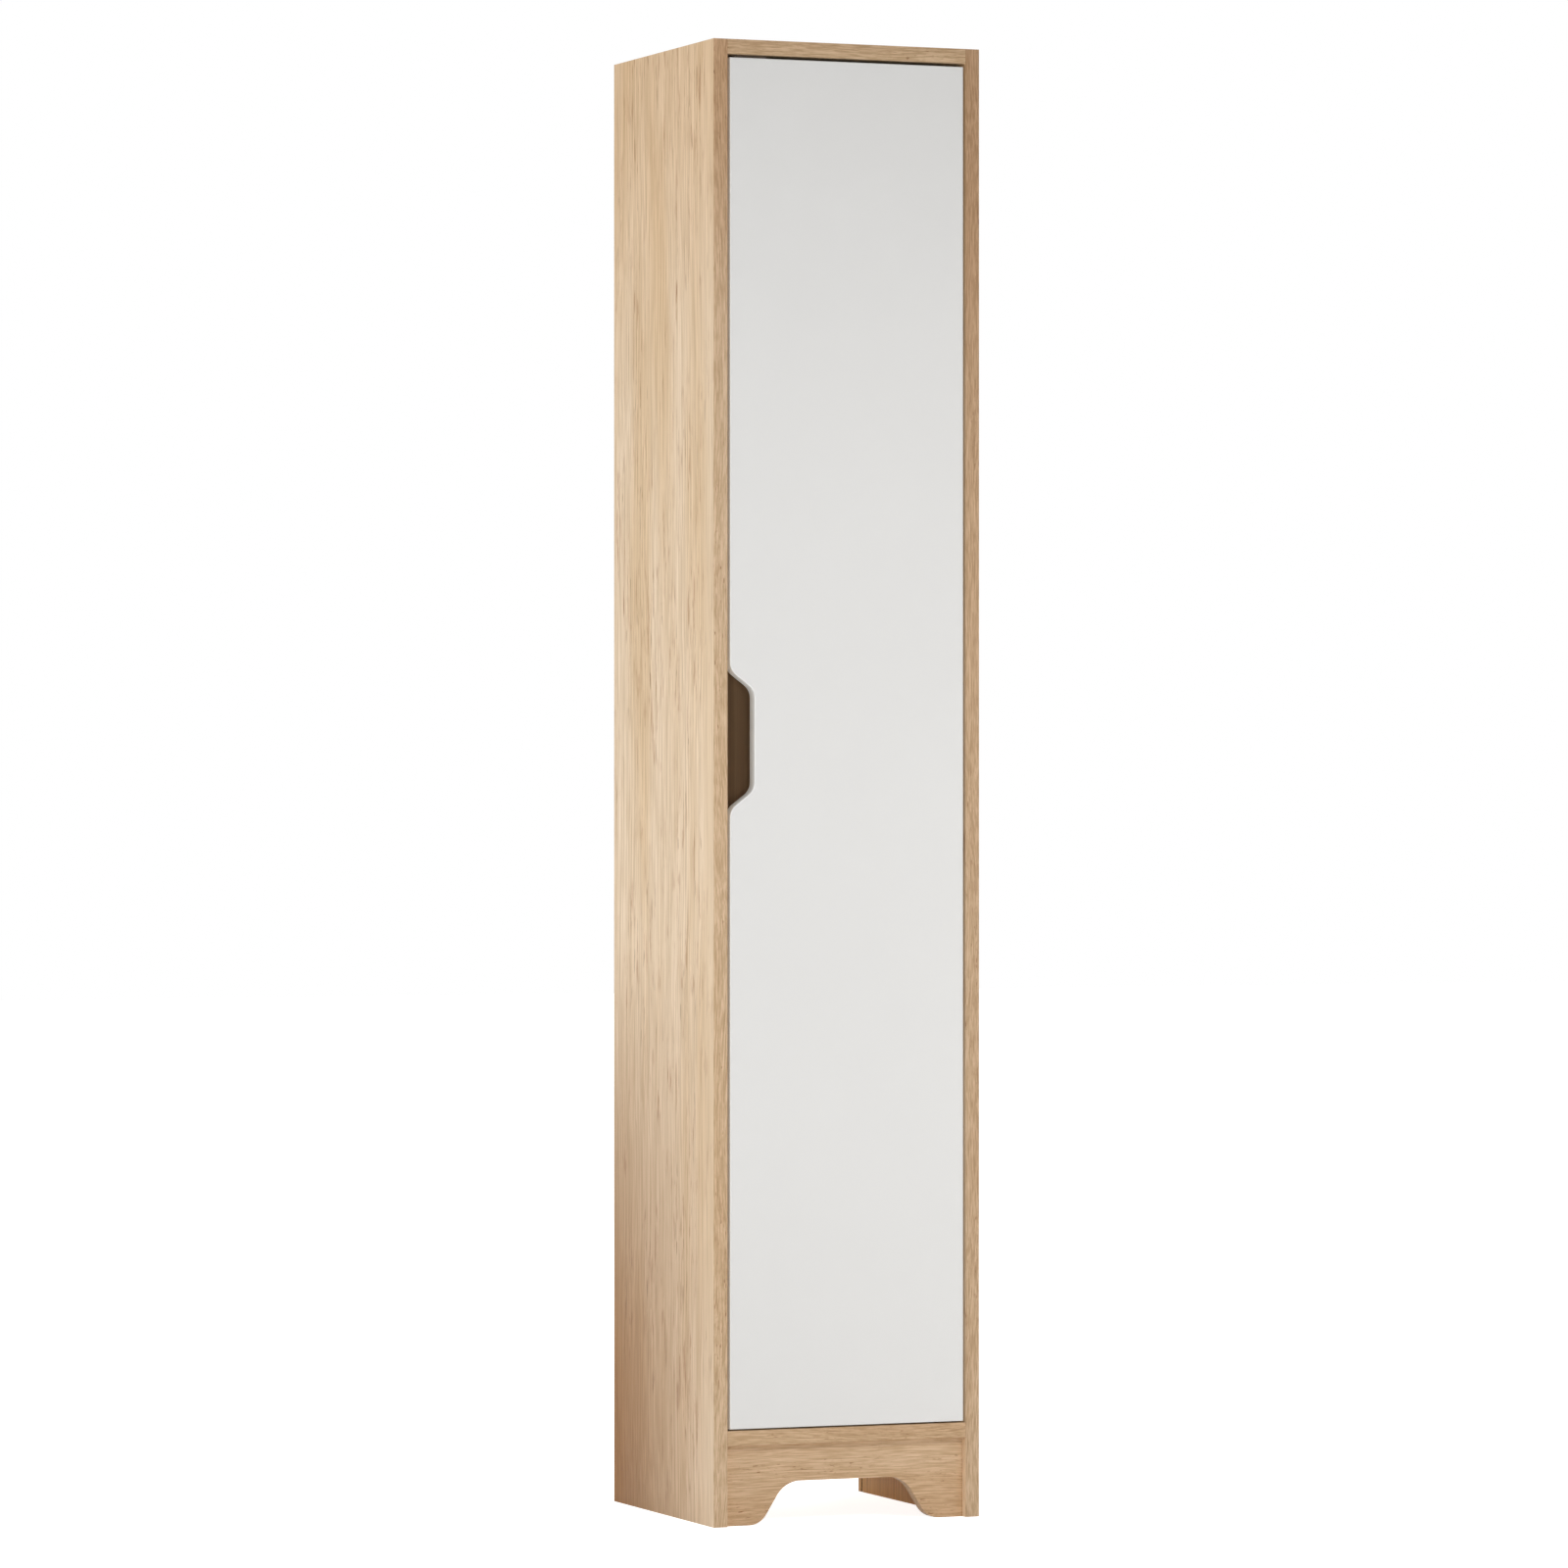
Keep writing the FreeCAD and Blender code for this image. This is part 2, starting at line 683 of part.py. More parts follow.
# The door: its outline with the finger notch, rounded front edges, cup bores and screw holes
def make_door():
    wall_x = door_left + notch_depth
    upper_start = FreeCAD.Vector(wall_x, front_face, notch_centre_height + notch_straight_length / 2)
    lower_start = FreeCAD.Vector(wall_x, front_face, notch_centre_height - notch_straight_length / 2)
    upper, upper_end = s_bend(upper_start, up, left, notch_depth,
                              notch_inner_radius, notch_outer_radius, notch_slope_angle)
    lower, lower_end = s_bend(lower_start, down, left, notch_depth,
                              notch_inner_radius, notch_outer_radius, notch_slope_angle)
    corners = [
        upper_end,
        FreeCAD.Vector(door_left, front_face, door_top),
        FreeCAD.Vector(door_right, front_face, door_top),
        FreeCAD.Vector(door_right, front_face, door_bottom),
        FreeCAD.Vector(door_left, front_face, door_bottom),
        lower_end,
    ]
    edges = upper + lower + [line(lower_start, upper_start)]
    for start, end in zip(corners[:-1], corners[1:]):
        edges.append(line(start, end))
    door = extruded(edges, inward, door_thickness)
    front_rims = [edge for edge in door.Edges if edge.BoundBox.YMax < front_face + door_edge_radius]
    door = door.makeFillet(door_edge_radius, front_rims)
    bores = []
    for hinge_height in hinge_heights.values():
        start = FreeCAD.Vector(cup_centre_x, door_back + overrun, hinge_height)
        bores.append(rod(cup_radius + cup_bore_play, start, outward,
                         cup_depth + cup_bore_play + overrun, cup_sides))
    for place in cup_screw_places:
        bores.append(rod(cup_screw_radius, place, outward, cup_screw_length))
    for place in strike_screw_places:
        bores.append(rod(catch_screw_radius, place, outward, catch_screw_length))
    save("door_panel", door.cut(Part.makeCompound(bores)))


make_door()


# A hinge cup: a deep dish with a flat flange, two screw ears and two cheeks for the pin
def make_hinge_cup(name, height):
    centre = FreeCAD.Vector(cup_centre_x, door_back, height)
    inner_radius = cup_radius - cup_wall
    outline = [
        (-flange_thickness, inner_radius),
        (-flange_thickness, flange_radius),
        (0, flange_radius),
        (0, cup_radius),
        (cup_depth, cup_radius),
        (cup_depth, 0),
        (cup_depth - cup_floor, 0),
        (cup_depth - cup_floor, inner_radius),
    ]
    dish = turned(outline, centre, outward, cup_sides)
    ears = []
    for sign in (-1, 1):
        foot = FreeCAD.Vector(cup_centre_x - ear_offset, door_back, height + sign * ear_spacing / 2)
        ears.append(rod(ear_radius, foot, inward, flange_thickness, disc_sides))
    ears.append(block(cup_centre_x - ear_offset - ear_radius, cup_centre_x - ear_offset + ear_radius,
                      door_back, door_back + flange_thickness,
                      height - ear_spacing / 2, height + ear_spacing / 2))
    opening = rod(inner_radius, centre + inward * (flange_thickness + overrun), outward,
                  cup_depth, cup_sides)
    ears = fused(ears).cut(opening)
    floor_y = door_back - cup_depth + cup_floor
    cheeks = []
    for sign in (-1, 1):
        near = height + sign * cheek_inner
        far = height + sign * cheek_outer
        low, high = min(near, far), max(near, far)
        post = block(pivot_x - cheek_radius, pivot_x + cheek_radius,
                     floor_y - cup_floor / 2, pivot_y, low, high)
        head = rod(cheek_radius, FreeCAD.Vector(pivot_x, pivot_y, low), up, high - low)
        cheeks.append(post.fuse(head))
    cup = fused([dish, ears] + cheeks)
    pin_bore = rod(pivot_pin_radius, FreeCAD.Vector(pivot_x, pivot_y, height - cheek_outer - overrun),
                   up, (cheek_outer + overrun) * 2, disc_sides)
    cuts = [pin_bore]
    for sign in (-1, 1):
        start = FreeCAD.Vector(cup_centre_x - ear_offset, door_back - overrun,
                               height + sign * ear_spacing / 2)
        cuts.append(rod(cup_screw_radius + screw_hole_play, start, inward,
                        flange_thickness + overrun * 2))
    save(name, cup.cut(Part.makeCompound(cuts)))


# Seen from above, the neck of the arm keeps left of the door edge and of the cup rim when
# the door stands fully open
opening_sine = math.sin(math.radians(door_opening_angle))
opening_cosine = math.cos(math.radians(door_opening_angle))
rim_distance = cup_centre_x + cup_radius - cup_wall - pivot_x
open_edge_x = pivot_x + pivot_edge_distance * opening_cosine - pivot_depth * opening_sine
open_rim_x = pivot_x + rim_distance * opening_cosine - (pivot_depth + flange_thickness) * opening_sine
neck_right = min(open_edge_x, open_rim_x) - door_opening_gap
neck_left = neck_right - neck_thickness


# Points along an arc round a centre, from one angle to another
def arc_points(centre_x, centre_y, radius, angle_from, angle_to, steps):
    points = []
    for step in range(steps + 1):
        angle = math.radians(angle_from + (angle_to - angle_from) * step / steps)
        points.append((centre_x + radius * math.cos(angle), centre_y + radius * math.sin(angle)))
    return points


# The arm from above: an eye on the pin, a neck that turns out of the cup, a slope towards
# the side panel and a straight run over the rail of the plate
def arm_face(foot_z):
    eye_low = pivot_y - eye_radius
    eye_high = pivot_y + eye_radius
    slope_start = front_face + neck_rear_depth
    slope_end = front_face + arm_bend_depth
    rear = front_face + arm_rear_depth
    foot_x = right_inner - arm_underside
    outline = arc_points(pivot_x, pivot_y, eye_radius, -quarter_turn, quarter_turn, bend_steps * 2)
    outline += arc_points(neck_right + eye_radius, eye_high + eye_radius, eye_radius,
                          quarter_turn * 3, quarter_turn * 2, bend_steps)
    outline += [
        (neck_right, slope_start),
        (foot_x, slope_end),
        (foot_x, rear),
        (arm_top_x, rear),
        (arm_top_x, slope_end),
        (neck_left, slope_start),
    ]
    outline += arc_points(neck_left + neck_front_bend, eye_low + neck_front_bend, neck_front_bend,
                          quarter_turn * 2, quarter_turn * 3, bend_steps)
    return polygon_face([FreeCAD.Vector(x, y, foot_z) for x, y in outline])


# The hollow of the channel is the same outline one sheet thickness smaller, left open
# towards the side panel
def make_hinge_arm(name, height):
    arm = arm_face(height - arm_half_width).extrude(FreeCAD.Vector(up) * arm_half_width * 2)
    hollow_half_width = arm_half_width - arm_metal
    inner_face = arm_face(height - hollow_half_width).makeOffset2D(-arm_metal)
    hollow = inner_face.extrude(FreeCAD.Vector(up) * hollow_half_width * 2)
    open_side = hollow.copy()
    open_side.translate(FreeCAD.Vector(right) * (arm_metal + overrun))
    cuts = [hollow, open_side]
    cuts.append(rod(pivot_pin_radius + pivot_pin_play,
                    FreeCAD.Vector(pivot_x, pivot_y, height - arm_half_width - overrun),
                    up, (arm_half_width + overrun) * 2, disc_sides))
    for depth in (arm_screw_front_depth, arm_screw_rear_depth):
        start = FreeCAD.Vector(arm_top_x - overrun, front_face + depth, height)
        cuts.append(rod(arm_screw_radius + screw_hole_play, start, right, arm_metal + overrun * 2))
    save(name, arm.cut(cuts))


# The plate: a base with two round wings for its screws, and a rail that fills the arm
def make_hinge_plate(name, height):
    base_face = right_inner - plate_thickness
    front = plate_screw_y - plate_front_margin
    rear = front_face + arm_rear_depth - rail_rear_margin
    rail_top = arm_top_x + arm_metal + rail_top_gap
    pieces = [
        block(base_face, right_inner, front, rear, height - arm_half_width, height + arm_half_width),
        block(base_face, right_inner, plate_screw_y - plate_wing_radius, plate_screw_y + plate_wing_radius,
              height - plate_screw_spacing / 2, height + plate_screw_spacing / 2),
        block(rail_top, base_face, front, rear, height - rail_half_width, height + rail_half_width),
    ]
    cuts = []
    for sign in (-1, 1):
        middle = FreeCAD.Vector(base_face, plate_screw_y, height + sign * plate_screw_spacing / 2)
        pieces.append(rod(plate_wing_radius, middle, right, plate_thickness, disc_sides))
        cuts.append(rod(plate_screw_radius + screw_hole_play, middle - FreeCAD.Vector(right) * overrun,
                        right, plate_thickness + overrun * 2))
    for depth in (arm_screw_front_depth, arm_screw_rear_depth):
        start = FreeCAD.Vector(rail_top - overrun, front_face + depth, height)
        cuts.append(rod(arm_screw_radius, start, right, arm_height))
    save(name, fused(pieces).cut(cuts))


plate_screws = []
arm_screws = []
hinge_pins = []
for place, hinge_height in hinge_heights.items():
    make_hinge_cup(place + "_hinge_cup", hinge_height)
    make_hinge_arm(place + "_hinge_arm", hinge_height)
    make_hinge_plate(place + "_hinge_plate", hinge_height)
    hinge_pins.append(Part.makeCylinder(pivot_pin_radius, cheek_outer * 2,
                                        FreeCAD.Vector(pivot_x, pivot_y, hinge_height - cheek_outer), up))
    for sign in (-1, 1):
        start = FreeCAD.Vector(right_inner - plate_thickness, plate_screw_y,
                               hinge_height + sign * plate_screw_spacing / 2)
        plate_screws.append(screw(start, right, plate_screw_radius, plate_screw_length))
    for depth in (arm_screw_front_depth, arm_screw_rear_depth):
        start = FreeCAD.Vector(arm_top_x, front_face + depth, hinge_height)
        arm_screws.append(screw(start, right, arm_screw_radius, arm_height - plate_thickness))
save("hinge_pins", Part.makeCompound(hinge_pins))
save("hinge_plate_screws", Part.makeCompound(plate_screws))
save("hinge_arm_screws", Part.makeCompound(arm_screws))
save("hinge_cup_screws", Part.makeCompound([screw(place, outward, cup_screw_radius, cup_screw_length)
                                            for place in cup_screw_places]))


# The catch: a moulded body with two ears, and a magnet between two pole plates
def make_catch():
    front = door_back + strike_thickness + magnet_proud
    rear = front + catch_depth
    body = block(catch_middle_x - catch_body_length / 2, catch_middle_x + catch_body_length / 2,
                 front, rear, top_under - catch_height, top_under)
    ears = block(catch_middle_x - catch_length / 2, catch_middle_x + catch_length / 2,
                 front, rear, top_under - catch_ear_height, top_under)
    ear_corners = [edge for edge in ears.Edges if edge.BoundBox.ZLength > catch_ear_height / 2]
    ears = ears.makeChamfer(catch_corner, ear_corners)
    half_stack = magnet_height / 2 + magnet_plate_thickness
    pocket = block(catch_middle_x - magnet_length / 2 - magnet_play,
                   catch_middle_x + magnet_length / 2 + magnet_play,
                   front - overrun, front + magnet_depth + magnet_play,
                   strike_middle_z - half_stack - magnet_play, strike_middle_z + half_stack + magnet_play)
    cuts = [pocket]
    screws = []
    for sign in (-1, 1):
        head_seat = FreeCAD.Vector(catch_middle_x + sign * catch_screw_spacing / 2, catch_screw_y,
                                   top_under - catch_ear_height)
        cuts.append(rod(catch_screw_radius + screw_hole_play, head_seat - FreeCAD.Vector(up) * overrun,
                        up, catch_ear_height + overrun * 2))
        screws.append(screw(head_seat, up, catch_screw_radius, catch_ear_height + catch_screw_length))
    save("catch_body", body.fuse(ears).removeSplitter().cut(cuts))
    save("catch_screws", Part.makeCompound(screws))
    magnet = block(catch_middle_x - magnet_length / 2, catch_middle_x + magnet_length / 2,
                   front, front + magnet_depth,
                   strike_middle_z - magnet_height / 2, strike_middle_z + magnet_height / 2)
    stack = [magnet]
    for sign in (-1, 1):
        near = strike_middle_z + sign * magnet_height / 2
        far = strike_middle_z + sign * half_stack
        stack.append(block(catch_middle_x - magnet_length / 2, catch_middle_x + magnet_length / 2,
                           front - magnet_proud, front + magnet_depth, min(near, far), max(near, far)))
    save("catch_magnet", Part.makeCompound(stack))
    strike = block(catch_middle_x - strike_length / 2, catch_middle_x + strike_length / 2,
                   door_back, door_back + strike_thickness,
                   strike_middle_z - strike_height / 2, strike_middle_z + strike_height / 2)
    strike_corners = [edge for edge in strike.Edges if edge.BoundBox.YLength > strike_thickness / 2]
    strike = strike.makeChamfer(strike_corner, strike_corners)
    holes = [rod(catch_screw_radius + screw_hole_play, place + FreeCAD.Vector(inward) * overrun,
                 outward, strike_thickness + overrun * 2) for place in strike_screw_places]
    save("strike_plate", strike.cut(holes))
    save("strike_screws", Part.makeCompound([screw(place, outward, catch_screw_radius, catch_screw_length)
                                             for place in strike_screw_places]))


make_catch()


# The anti-tip bracket: a bent strip under the top panel and against the back panel
def make_wall_bracket():
    front = back_front - bracket_leg
    low = top_under - bracket_leg
    outer_bend = bracket_bend_radius + bracket_metal
    centre_y = back_front - outer_bend
    centre_z = top_under - outer_bend
    outline = [(front, top_under)]
    outline += arc_points(centre_y, centre_z, outer_bend, quarter_turn, 0, bend_steps * 2)
    outline += [(back_front, low), (back_front - bracket_metal, low)]
    outline += arc_points(centre_y, centre_z, bracket_bend_radius, 0, quarter_turn, bend_steps * 2)
    outline.append((front, top_under - bracket_metal))
    face = polygon_face([FreeCAD.Vector(-bracket_width / 2, y, z) for y, z in outline])
    bracket = face.extrude(FreeCAD.Vector(right) * bracket_width)
    wall_hole = Part.makeCylinder(wall_screw_hole_radius, bracket_metal + overrun * 2,
                                  FreeCAD.Vector(0, back_front - bracket_metal - overrun, wall_screw_height),
                                  inward)
    cuts = [wall_hole]
    screws = []
    for sign in (-1, 1):
        head_seat = FreeCAD.Vector(sign * bracket_screw_spacing / 2, bracket_screw_y,
                                   top_under - bracket_metal)
        cuts.append(rod(bracket_screw_radius + screw_hole_play, head_seat - FreeCAD.Vector(up) * overrun,
                        up, bracket_metal + overrun * 2))
        screws.append(screw(head_seat, up, bracket_screw_radius, bracket_metal + bracket_screw_length))
    save("wall_bracket", bracket.cut(cuts))
    save("wall_bracket_screws", Part.makeCompound(screws))


make_wall_bracket()
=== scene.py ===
import math

import bmesh
import bpy
import numpy as np
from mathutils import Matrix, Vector


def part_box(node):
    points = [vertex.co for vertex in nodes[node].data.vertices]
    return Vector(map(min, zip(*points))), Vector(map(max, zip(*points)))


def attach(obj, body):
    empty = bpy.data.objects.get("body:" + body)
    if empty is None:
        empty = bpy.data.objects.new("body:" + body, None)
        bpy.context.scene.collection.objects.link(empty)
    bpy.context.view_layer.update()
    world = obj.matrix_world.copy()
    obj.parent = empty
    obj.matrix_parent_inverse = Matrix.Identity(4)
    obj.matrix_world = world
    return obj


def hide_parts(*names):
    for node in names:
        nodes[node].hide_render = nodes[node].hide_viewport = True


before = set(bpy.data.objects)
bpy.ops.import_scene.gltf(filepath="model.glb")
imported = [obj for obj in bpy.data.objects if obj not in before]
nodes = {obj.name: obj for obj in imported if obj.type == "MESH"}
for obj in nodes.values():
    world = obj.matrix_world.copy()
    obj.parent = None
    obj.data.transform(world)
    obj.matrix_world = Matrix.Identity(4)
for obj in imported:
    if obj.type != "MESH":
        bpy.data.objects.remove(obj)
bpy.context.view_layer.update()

mm = 0.001            # Blender works in metres; sizes below are in millimetres unless a note says otherwise

# settings that many nodes share
smooth = {"interpolation_type": "SMOOTHSTEP"}
blend = {"data_type": "RGBA"}
times = {"data_type": "RGBA", "blend_type": "MULTIPLY"}


def linearColour(hexText):
    # sRGB hex to linear: divide by 12.92 below the toe, else ((c + 0.055) / 1.055) to the power 2.4
    channels = [int(hexText[i:i + 2], 16) / 255 for i in (1, 3, 5)]
    return [c / 12.92 if c <= 0.04045 else ((c + 0.055) / 1.055) ** 2.4 for c in channels] + [1.0]


def addNode(tree, kind, inputs=None, **settings):
    # One node with its settings; an input is a value, a socket, or a node whose first socket in use is
    # linked. A mix of colours takes its factor and colours at 0, 6 and 7. A map range takes its value at 0,
    # the range that it comes from at 1 and 2, and the one that it goes to at 3 and 4.
    node = tree.nodes.new(kind)
    for setting, value in settings.items():
        setattr(node, setting, value)
    for key, value in (inputs or {}).items():
        if isinstance(value, bpy.types.Node):
            value = next(socket for socket in value.outputs if socket.enabled)
        if isinstance(value, bpy.types.NodeSocket):
            tree.links.new(value, node.inputs[key])
        else:
            node.inputs[key].default_value = value
    return node


def newMaterial(name):
    material = bpy.data.materials.new(name)
    material.use_nodes = True
    material.node_tree.nodes.clear()
    return material, material.node_tree


def grainScale(grainAxis, across, along):
    # how often a pattern repeats per metre when its marks are across mm wide and along mm long
    scale = [1000 / across] * 3
    scale["XYZ".index(grainAxis)] = 1000 / along
    return scale


# Oak paper pressed under melamine resin on chipboard: a pale warm ground with fine lines along the board,
# soft brown streaks in clusters, short dark flecks and a satin face. The pores of the real print are about
# 0.3 mm wide and are drawn coarser, because they would not show. Pairs are a mark's width and length.
oakLook = {
    "light": "#EDD6B7",
    "middle": "#DFC097",            # broad warmer drifts in the light tone
    "drift": (75, 700),
    "streak": "#B48B60",
    "streaks": (6, 60),
    "streaksShare": 0.42,           # how far a streak goes over to its tone
    "fleck": "#875A35",
    "flecks": (3.6, 44),
    "flecksShare": 0.8,
    "pores": (1.4, 12),
    "poresShare": 0.22,
    "clusters": (40, 130),          # streaks, flecks and pores are few outside these
    "growthLine": (9.0, 260),       # spacing, and the length over which a line keeps its strength
    "growthShare": 0.30,
    "fineLine": (2.6, 150),
    "fineLineContrast": 0.11,
    "mediumLine": (6.5, 300),
    "mediumLineContrast": 0.075,
    "lineTint": (0.85, 1.0, 1.3),   # how much of the contrast red, green and blue take
    "wander": 30,                   # how far a line strays sideways
    "wanderLength": 420,
    "plainShare": 0.0,              # how far the colour pales to its light tone near the front edge
    "plainRun": (-158, -112),
    "head": "#D7AF56",              # towards the head the colour is multiplied by this tone, so it darkens upwards
    "headShare": 0.0,
    "headRun": (1300, 1800),
    "roughness": (0.52, 0.44),
    "gloss": 0.2,                   # specular level: satin paper mirrors less than bare plastic would
}
sideLook = {
    **oakLook, "light": "#F3DBBD", "middle": "#E9CCA6", "streak": "#B5855D", "streaksShare": 0.62,
    "flecksShare": 0.65, "growthShare": 0.2, "fineLineContrast": 0.16, "plainShare": 0.35, "headShare": 0.30,
    "foot": "#996D00",              # painted shade: the rear foot of the left outer face is made darker and warmer
    "footShadeRun": 700,
    "footShadePower": 1.75,
    "footShadeFront": 0.15,              # its share at the front, rising to 1 at the rear
    "halfDepth": 170,
    "inner": "#F2C572",             # painted shade and warm bounce light on the inner faces behind the plinth, under the bottom panel
    "innerShadeShare": 0.9,
    "innerShadeTop": (85, 110),
    "innerShadeFront": -144,
    "outerFrom": 170,               # further out than this is an outer face
}
edgeLook = {
    **oakLook, "light": "#D4B898", "middle": "#CAAB88", "streak": "#A0754E", "fineLine": (1.4, 26),
    "fineLineContrast": 0.24, "growthLine": (3.4, 110), "mediumLine": (2.8, 80), "mediumLineContrast": 0.06,
    "streaks": (2.3, 36), "streaksShare": 0.30, "flecks": (1.8, 12), "pores": (1.3, 6), "poresShare": 0.35,
    "clusters": (24, 150), "wander": 60, "wanderLength": 520, "head": "#C8923E", "headShare": 0.40,
}
rightEdgeLook = {
    **edgeLook, "light": "#CCB192", "middle": "#C1A282", "streak": "#8D6745", "headRun": (0, 1800),
    "headShare": 0.34,
}
lyingEdgeLook = {
    **edgeLook, "light": "#CEB18E", "middle": "#C4A27F", "streak": "#956E4A", "streaksShare": 0.16,
    "growthShare": 0.22, "headShare": 0.0,
}
plinthLook = {
    **edgeLook, "light": "#D4B695", "middle": "#CDAC89", "fineLine": (1.5, 40), "fineLineContrast": 0.20,
    "growthLine": (3.8, 90), "growthShare": 0.22, "mediumLineContrast": 0.05, "streaksShare": 0.14,
    "wander": 12, "wanderLength": 200, "headShare": 0.0, "gloss": 0.07,
}

# how each kind of mark is cut from noise: the noise's detail, where the mark starts and is full, and the
# least that there is of it
markCuts = {
    "fineLine": (3.0, 0.36, 0.64, 0.0),
    "mediumLine": (2.0, 0.36, 0.64, 0.0),
    "streaks": (3.0, 0.54, 0.66, 0.0),
    "flecks": (1.0, 0.67, 0.73, 0.0),
    "pores": (1.0, 0.58, 0.76, 0.0),
    "clusters": (2.0, 0.46, 0.62, 0.15),
    "drift": (1.0, 0.36, 0.66, 0.0),
}


def grainMarks(tree, place, grainAxis, look):
    # Noise stretched along the grain for each kind of mark, on a place bent by wander times a slow noise so
    # that the lines stray. A mark's share rises smoothly from where it starts to where it is full.
    slow = addNode(tree, "ShaderNodeTexNoise", {"Vector": place, "Scale": 1000 / look["wanderLength"],
                                                "Detail": 1.5})
    stray = [look["wander"] * mm] * 3
    stray["XYZ".index(grainAxis)] = 0.0
    bent = addNode(tree, "ShaderNodeVectorMath", {0: slow.outputs["Color"], 1: stray, 2: place},
                   operation="MULTIPLY_ADD")
    noises, shares = {}, {}
    for number, (mark, (detail, start, full, least)) in enumerate(markCuts.items()):
        apart = [step * number for step in (7.3, 3.1, 5.7)]      # so that no two kinds share a noise
        mapped = addNode(tree, "ShaderNodeMapping", {
            "Vector": bent, "Scale": grainScale(grainAxis, *look[mark]), "Location": apart})
        noises[mark] = addNode(tree, "ShaderNodeTexNoise", {"Vector": mapped, "Scale": 1.0,
                                                            "Detail": detail, "Roughness": 0.6})
        shares[mark] = addNode(tree, "ShaderNodeMapRange", {
            0: noises[mark], 1: start, 2: full, 3: least, 4: look.get(mark + "Share", 1.0)}, **smooth)
    return bent, noises, shares


def growthLines(tree, bent, grainAxis, look):
    # The place across the grain over the lines' spacing: its whole part numbers the line, and its fraction
    # makes it dark where a line starts and pale halfway to the next. A noise sets how strong each line is;
    # its scale isn't whole, because a noise is the same at every whole place.
    axes = addNode(tree, "ShaderNodeSeparateXYZ", {0: bent}).outputs
    one, two = [axes[index] for index in range(3) if index != "XYZ".index(grainAxis)]
    spacing, length = look["growthLine"]
    beside = addNode(tree, "ShaderNodeMath", {0: one, 1: two}, operation="ADD")
    counted = addNode(tree, "ShaderNodeMath", {0: beside, 1: 1000 / spacing}, operation="MULTIPLY")
    number = addNode(tree, "ShaderNodeMath", {0: counted}, operation="FLOOR")
    fraction = addNode(tree, "ShaderNodeMath", {0: counted}, operation="FRACT")
    run = addNode(tree, "ShaderNodeMath", {0: axes["XYZ".index(grainAxis)], 1: 1000 / length},
                  operation="MULTIPLY")
    lineAt = addNode(tree, "ShaderNodeCombineXYZ", {0: number, 1: run})
    chance = addNode(tree, "ShaderNodeTexNoise", {"Vector": lineAt, "Scale": 1.37, "Detail": 2.0})
    strong = addNode(tree, "ShaderNodeMapRange", {0: chance, 1: 0.38, 2: 0.62, 3: 0.1,
                                                  4: look["growthShare"]}, **smooth)
    fading = addNode(tree, "ShaderNodeMapRange", {0: fraction, 1: 0.0, 2: 0.5, 3: 1.0, 4: 0.0}, **smooth)
    return addNode(tree, "ShaderNodeMath", {0: fading, 1: strong}, operation="MULTIPLY")


def sidePaintedShade(tree, colour, place, look):
    # Painted shade: the foot tone multiplies the print on the left outer face, the only one that the photo
    # shows, by the share 1 - (height / run) to a power, times one that rises evenly from the front to the rear.
    # The inner tone, painted shade and warm bounce light, does so on the inner faces, and fades out at the
    # height of the bottom panel.
    x, y, z = place
    rise = addNode(tree, "ShaderNodeMapRange", {0: z, 1: 0.0, 2: look["footShadeRun"] * mm, 3: 0.0, 4: 1.0})
    rise = addNode(tree, "ShaderNodeMath", {0: rise, 1: look["footShadePower"]}, operation="POWER")
    low = addNode(tree, "ShaderNodeMath", {0: 1.0, 1: rise}, operation="SUBTRACT")
    rearward = addNode(tree, "ShaderNodeMapRange", {0: y, 1: -look["halfDepth"] * mm, 2: look["halfDepth"] * mm,
                                                    3: look["footShadeFront"], 4: 1.0})
    leftmost = addNode(tree, "ShaderNodeMath", {0: x, 1: -look["outerFrom"] * mm}, operation="LESS_THAN")
    under = addNode(tree, "ShaderNodeMapRange", {0: z, 1: look["innerShadeTop"][0] * mm, 2: look["innerShadeTop"][1] * mm,
                                                 3: look["innerShadeShare"], 4: 0.0}, **smooth)
    aside = addNode(tree, "ShaderNodeMath", {0: x}, operation="ABSOLUTE")
    within = addNode(tree, "ShaderNodeMath", {0: aside, 1: look["outerFrom"] * mm}, operation="LESS_THAN")
    behind = addNode(tree, "ShaderNodeMath", {0: y, 1: look["innerShadeFront"] * mm}, operation="GREATER_THAN")
    for tone, first, others in (("foot", low, (rearward, leftmost)), ("inner", under, (within, behind))):
        amount = first
        for other in others:
            amount = addNode(tree, "ShaderNodeMath", {0: amount, 1: other}, operation="MULTIPLY")
        colour = addNode(tree, "ShaderNodeMix", {0: amount, 6: colour, 7: linearColour(look[tone])}, **times)
    return colour


chipboard = {"chip": 2.2, "brown": "#7F5F3E", "tan": "#C9A878", "bandFrom": 1799.5}


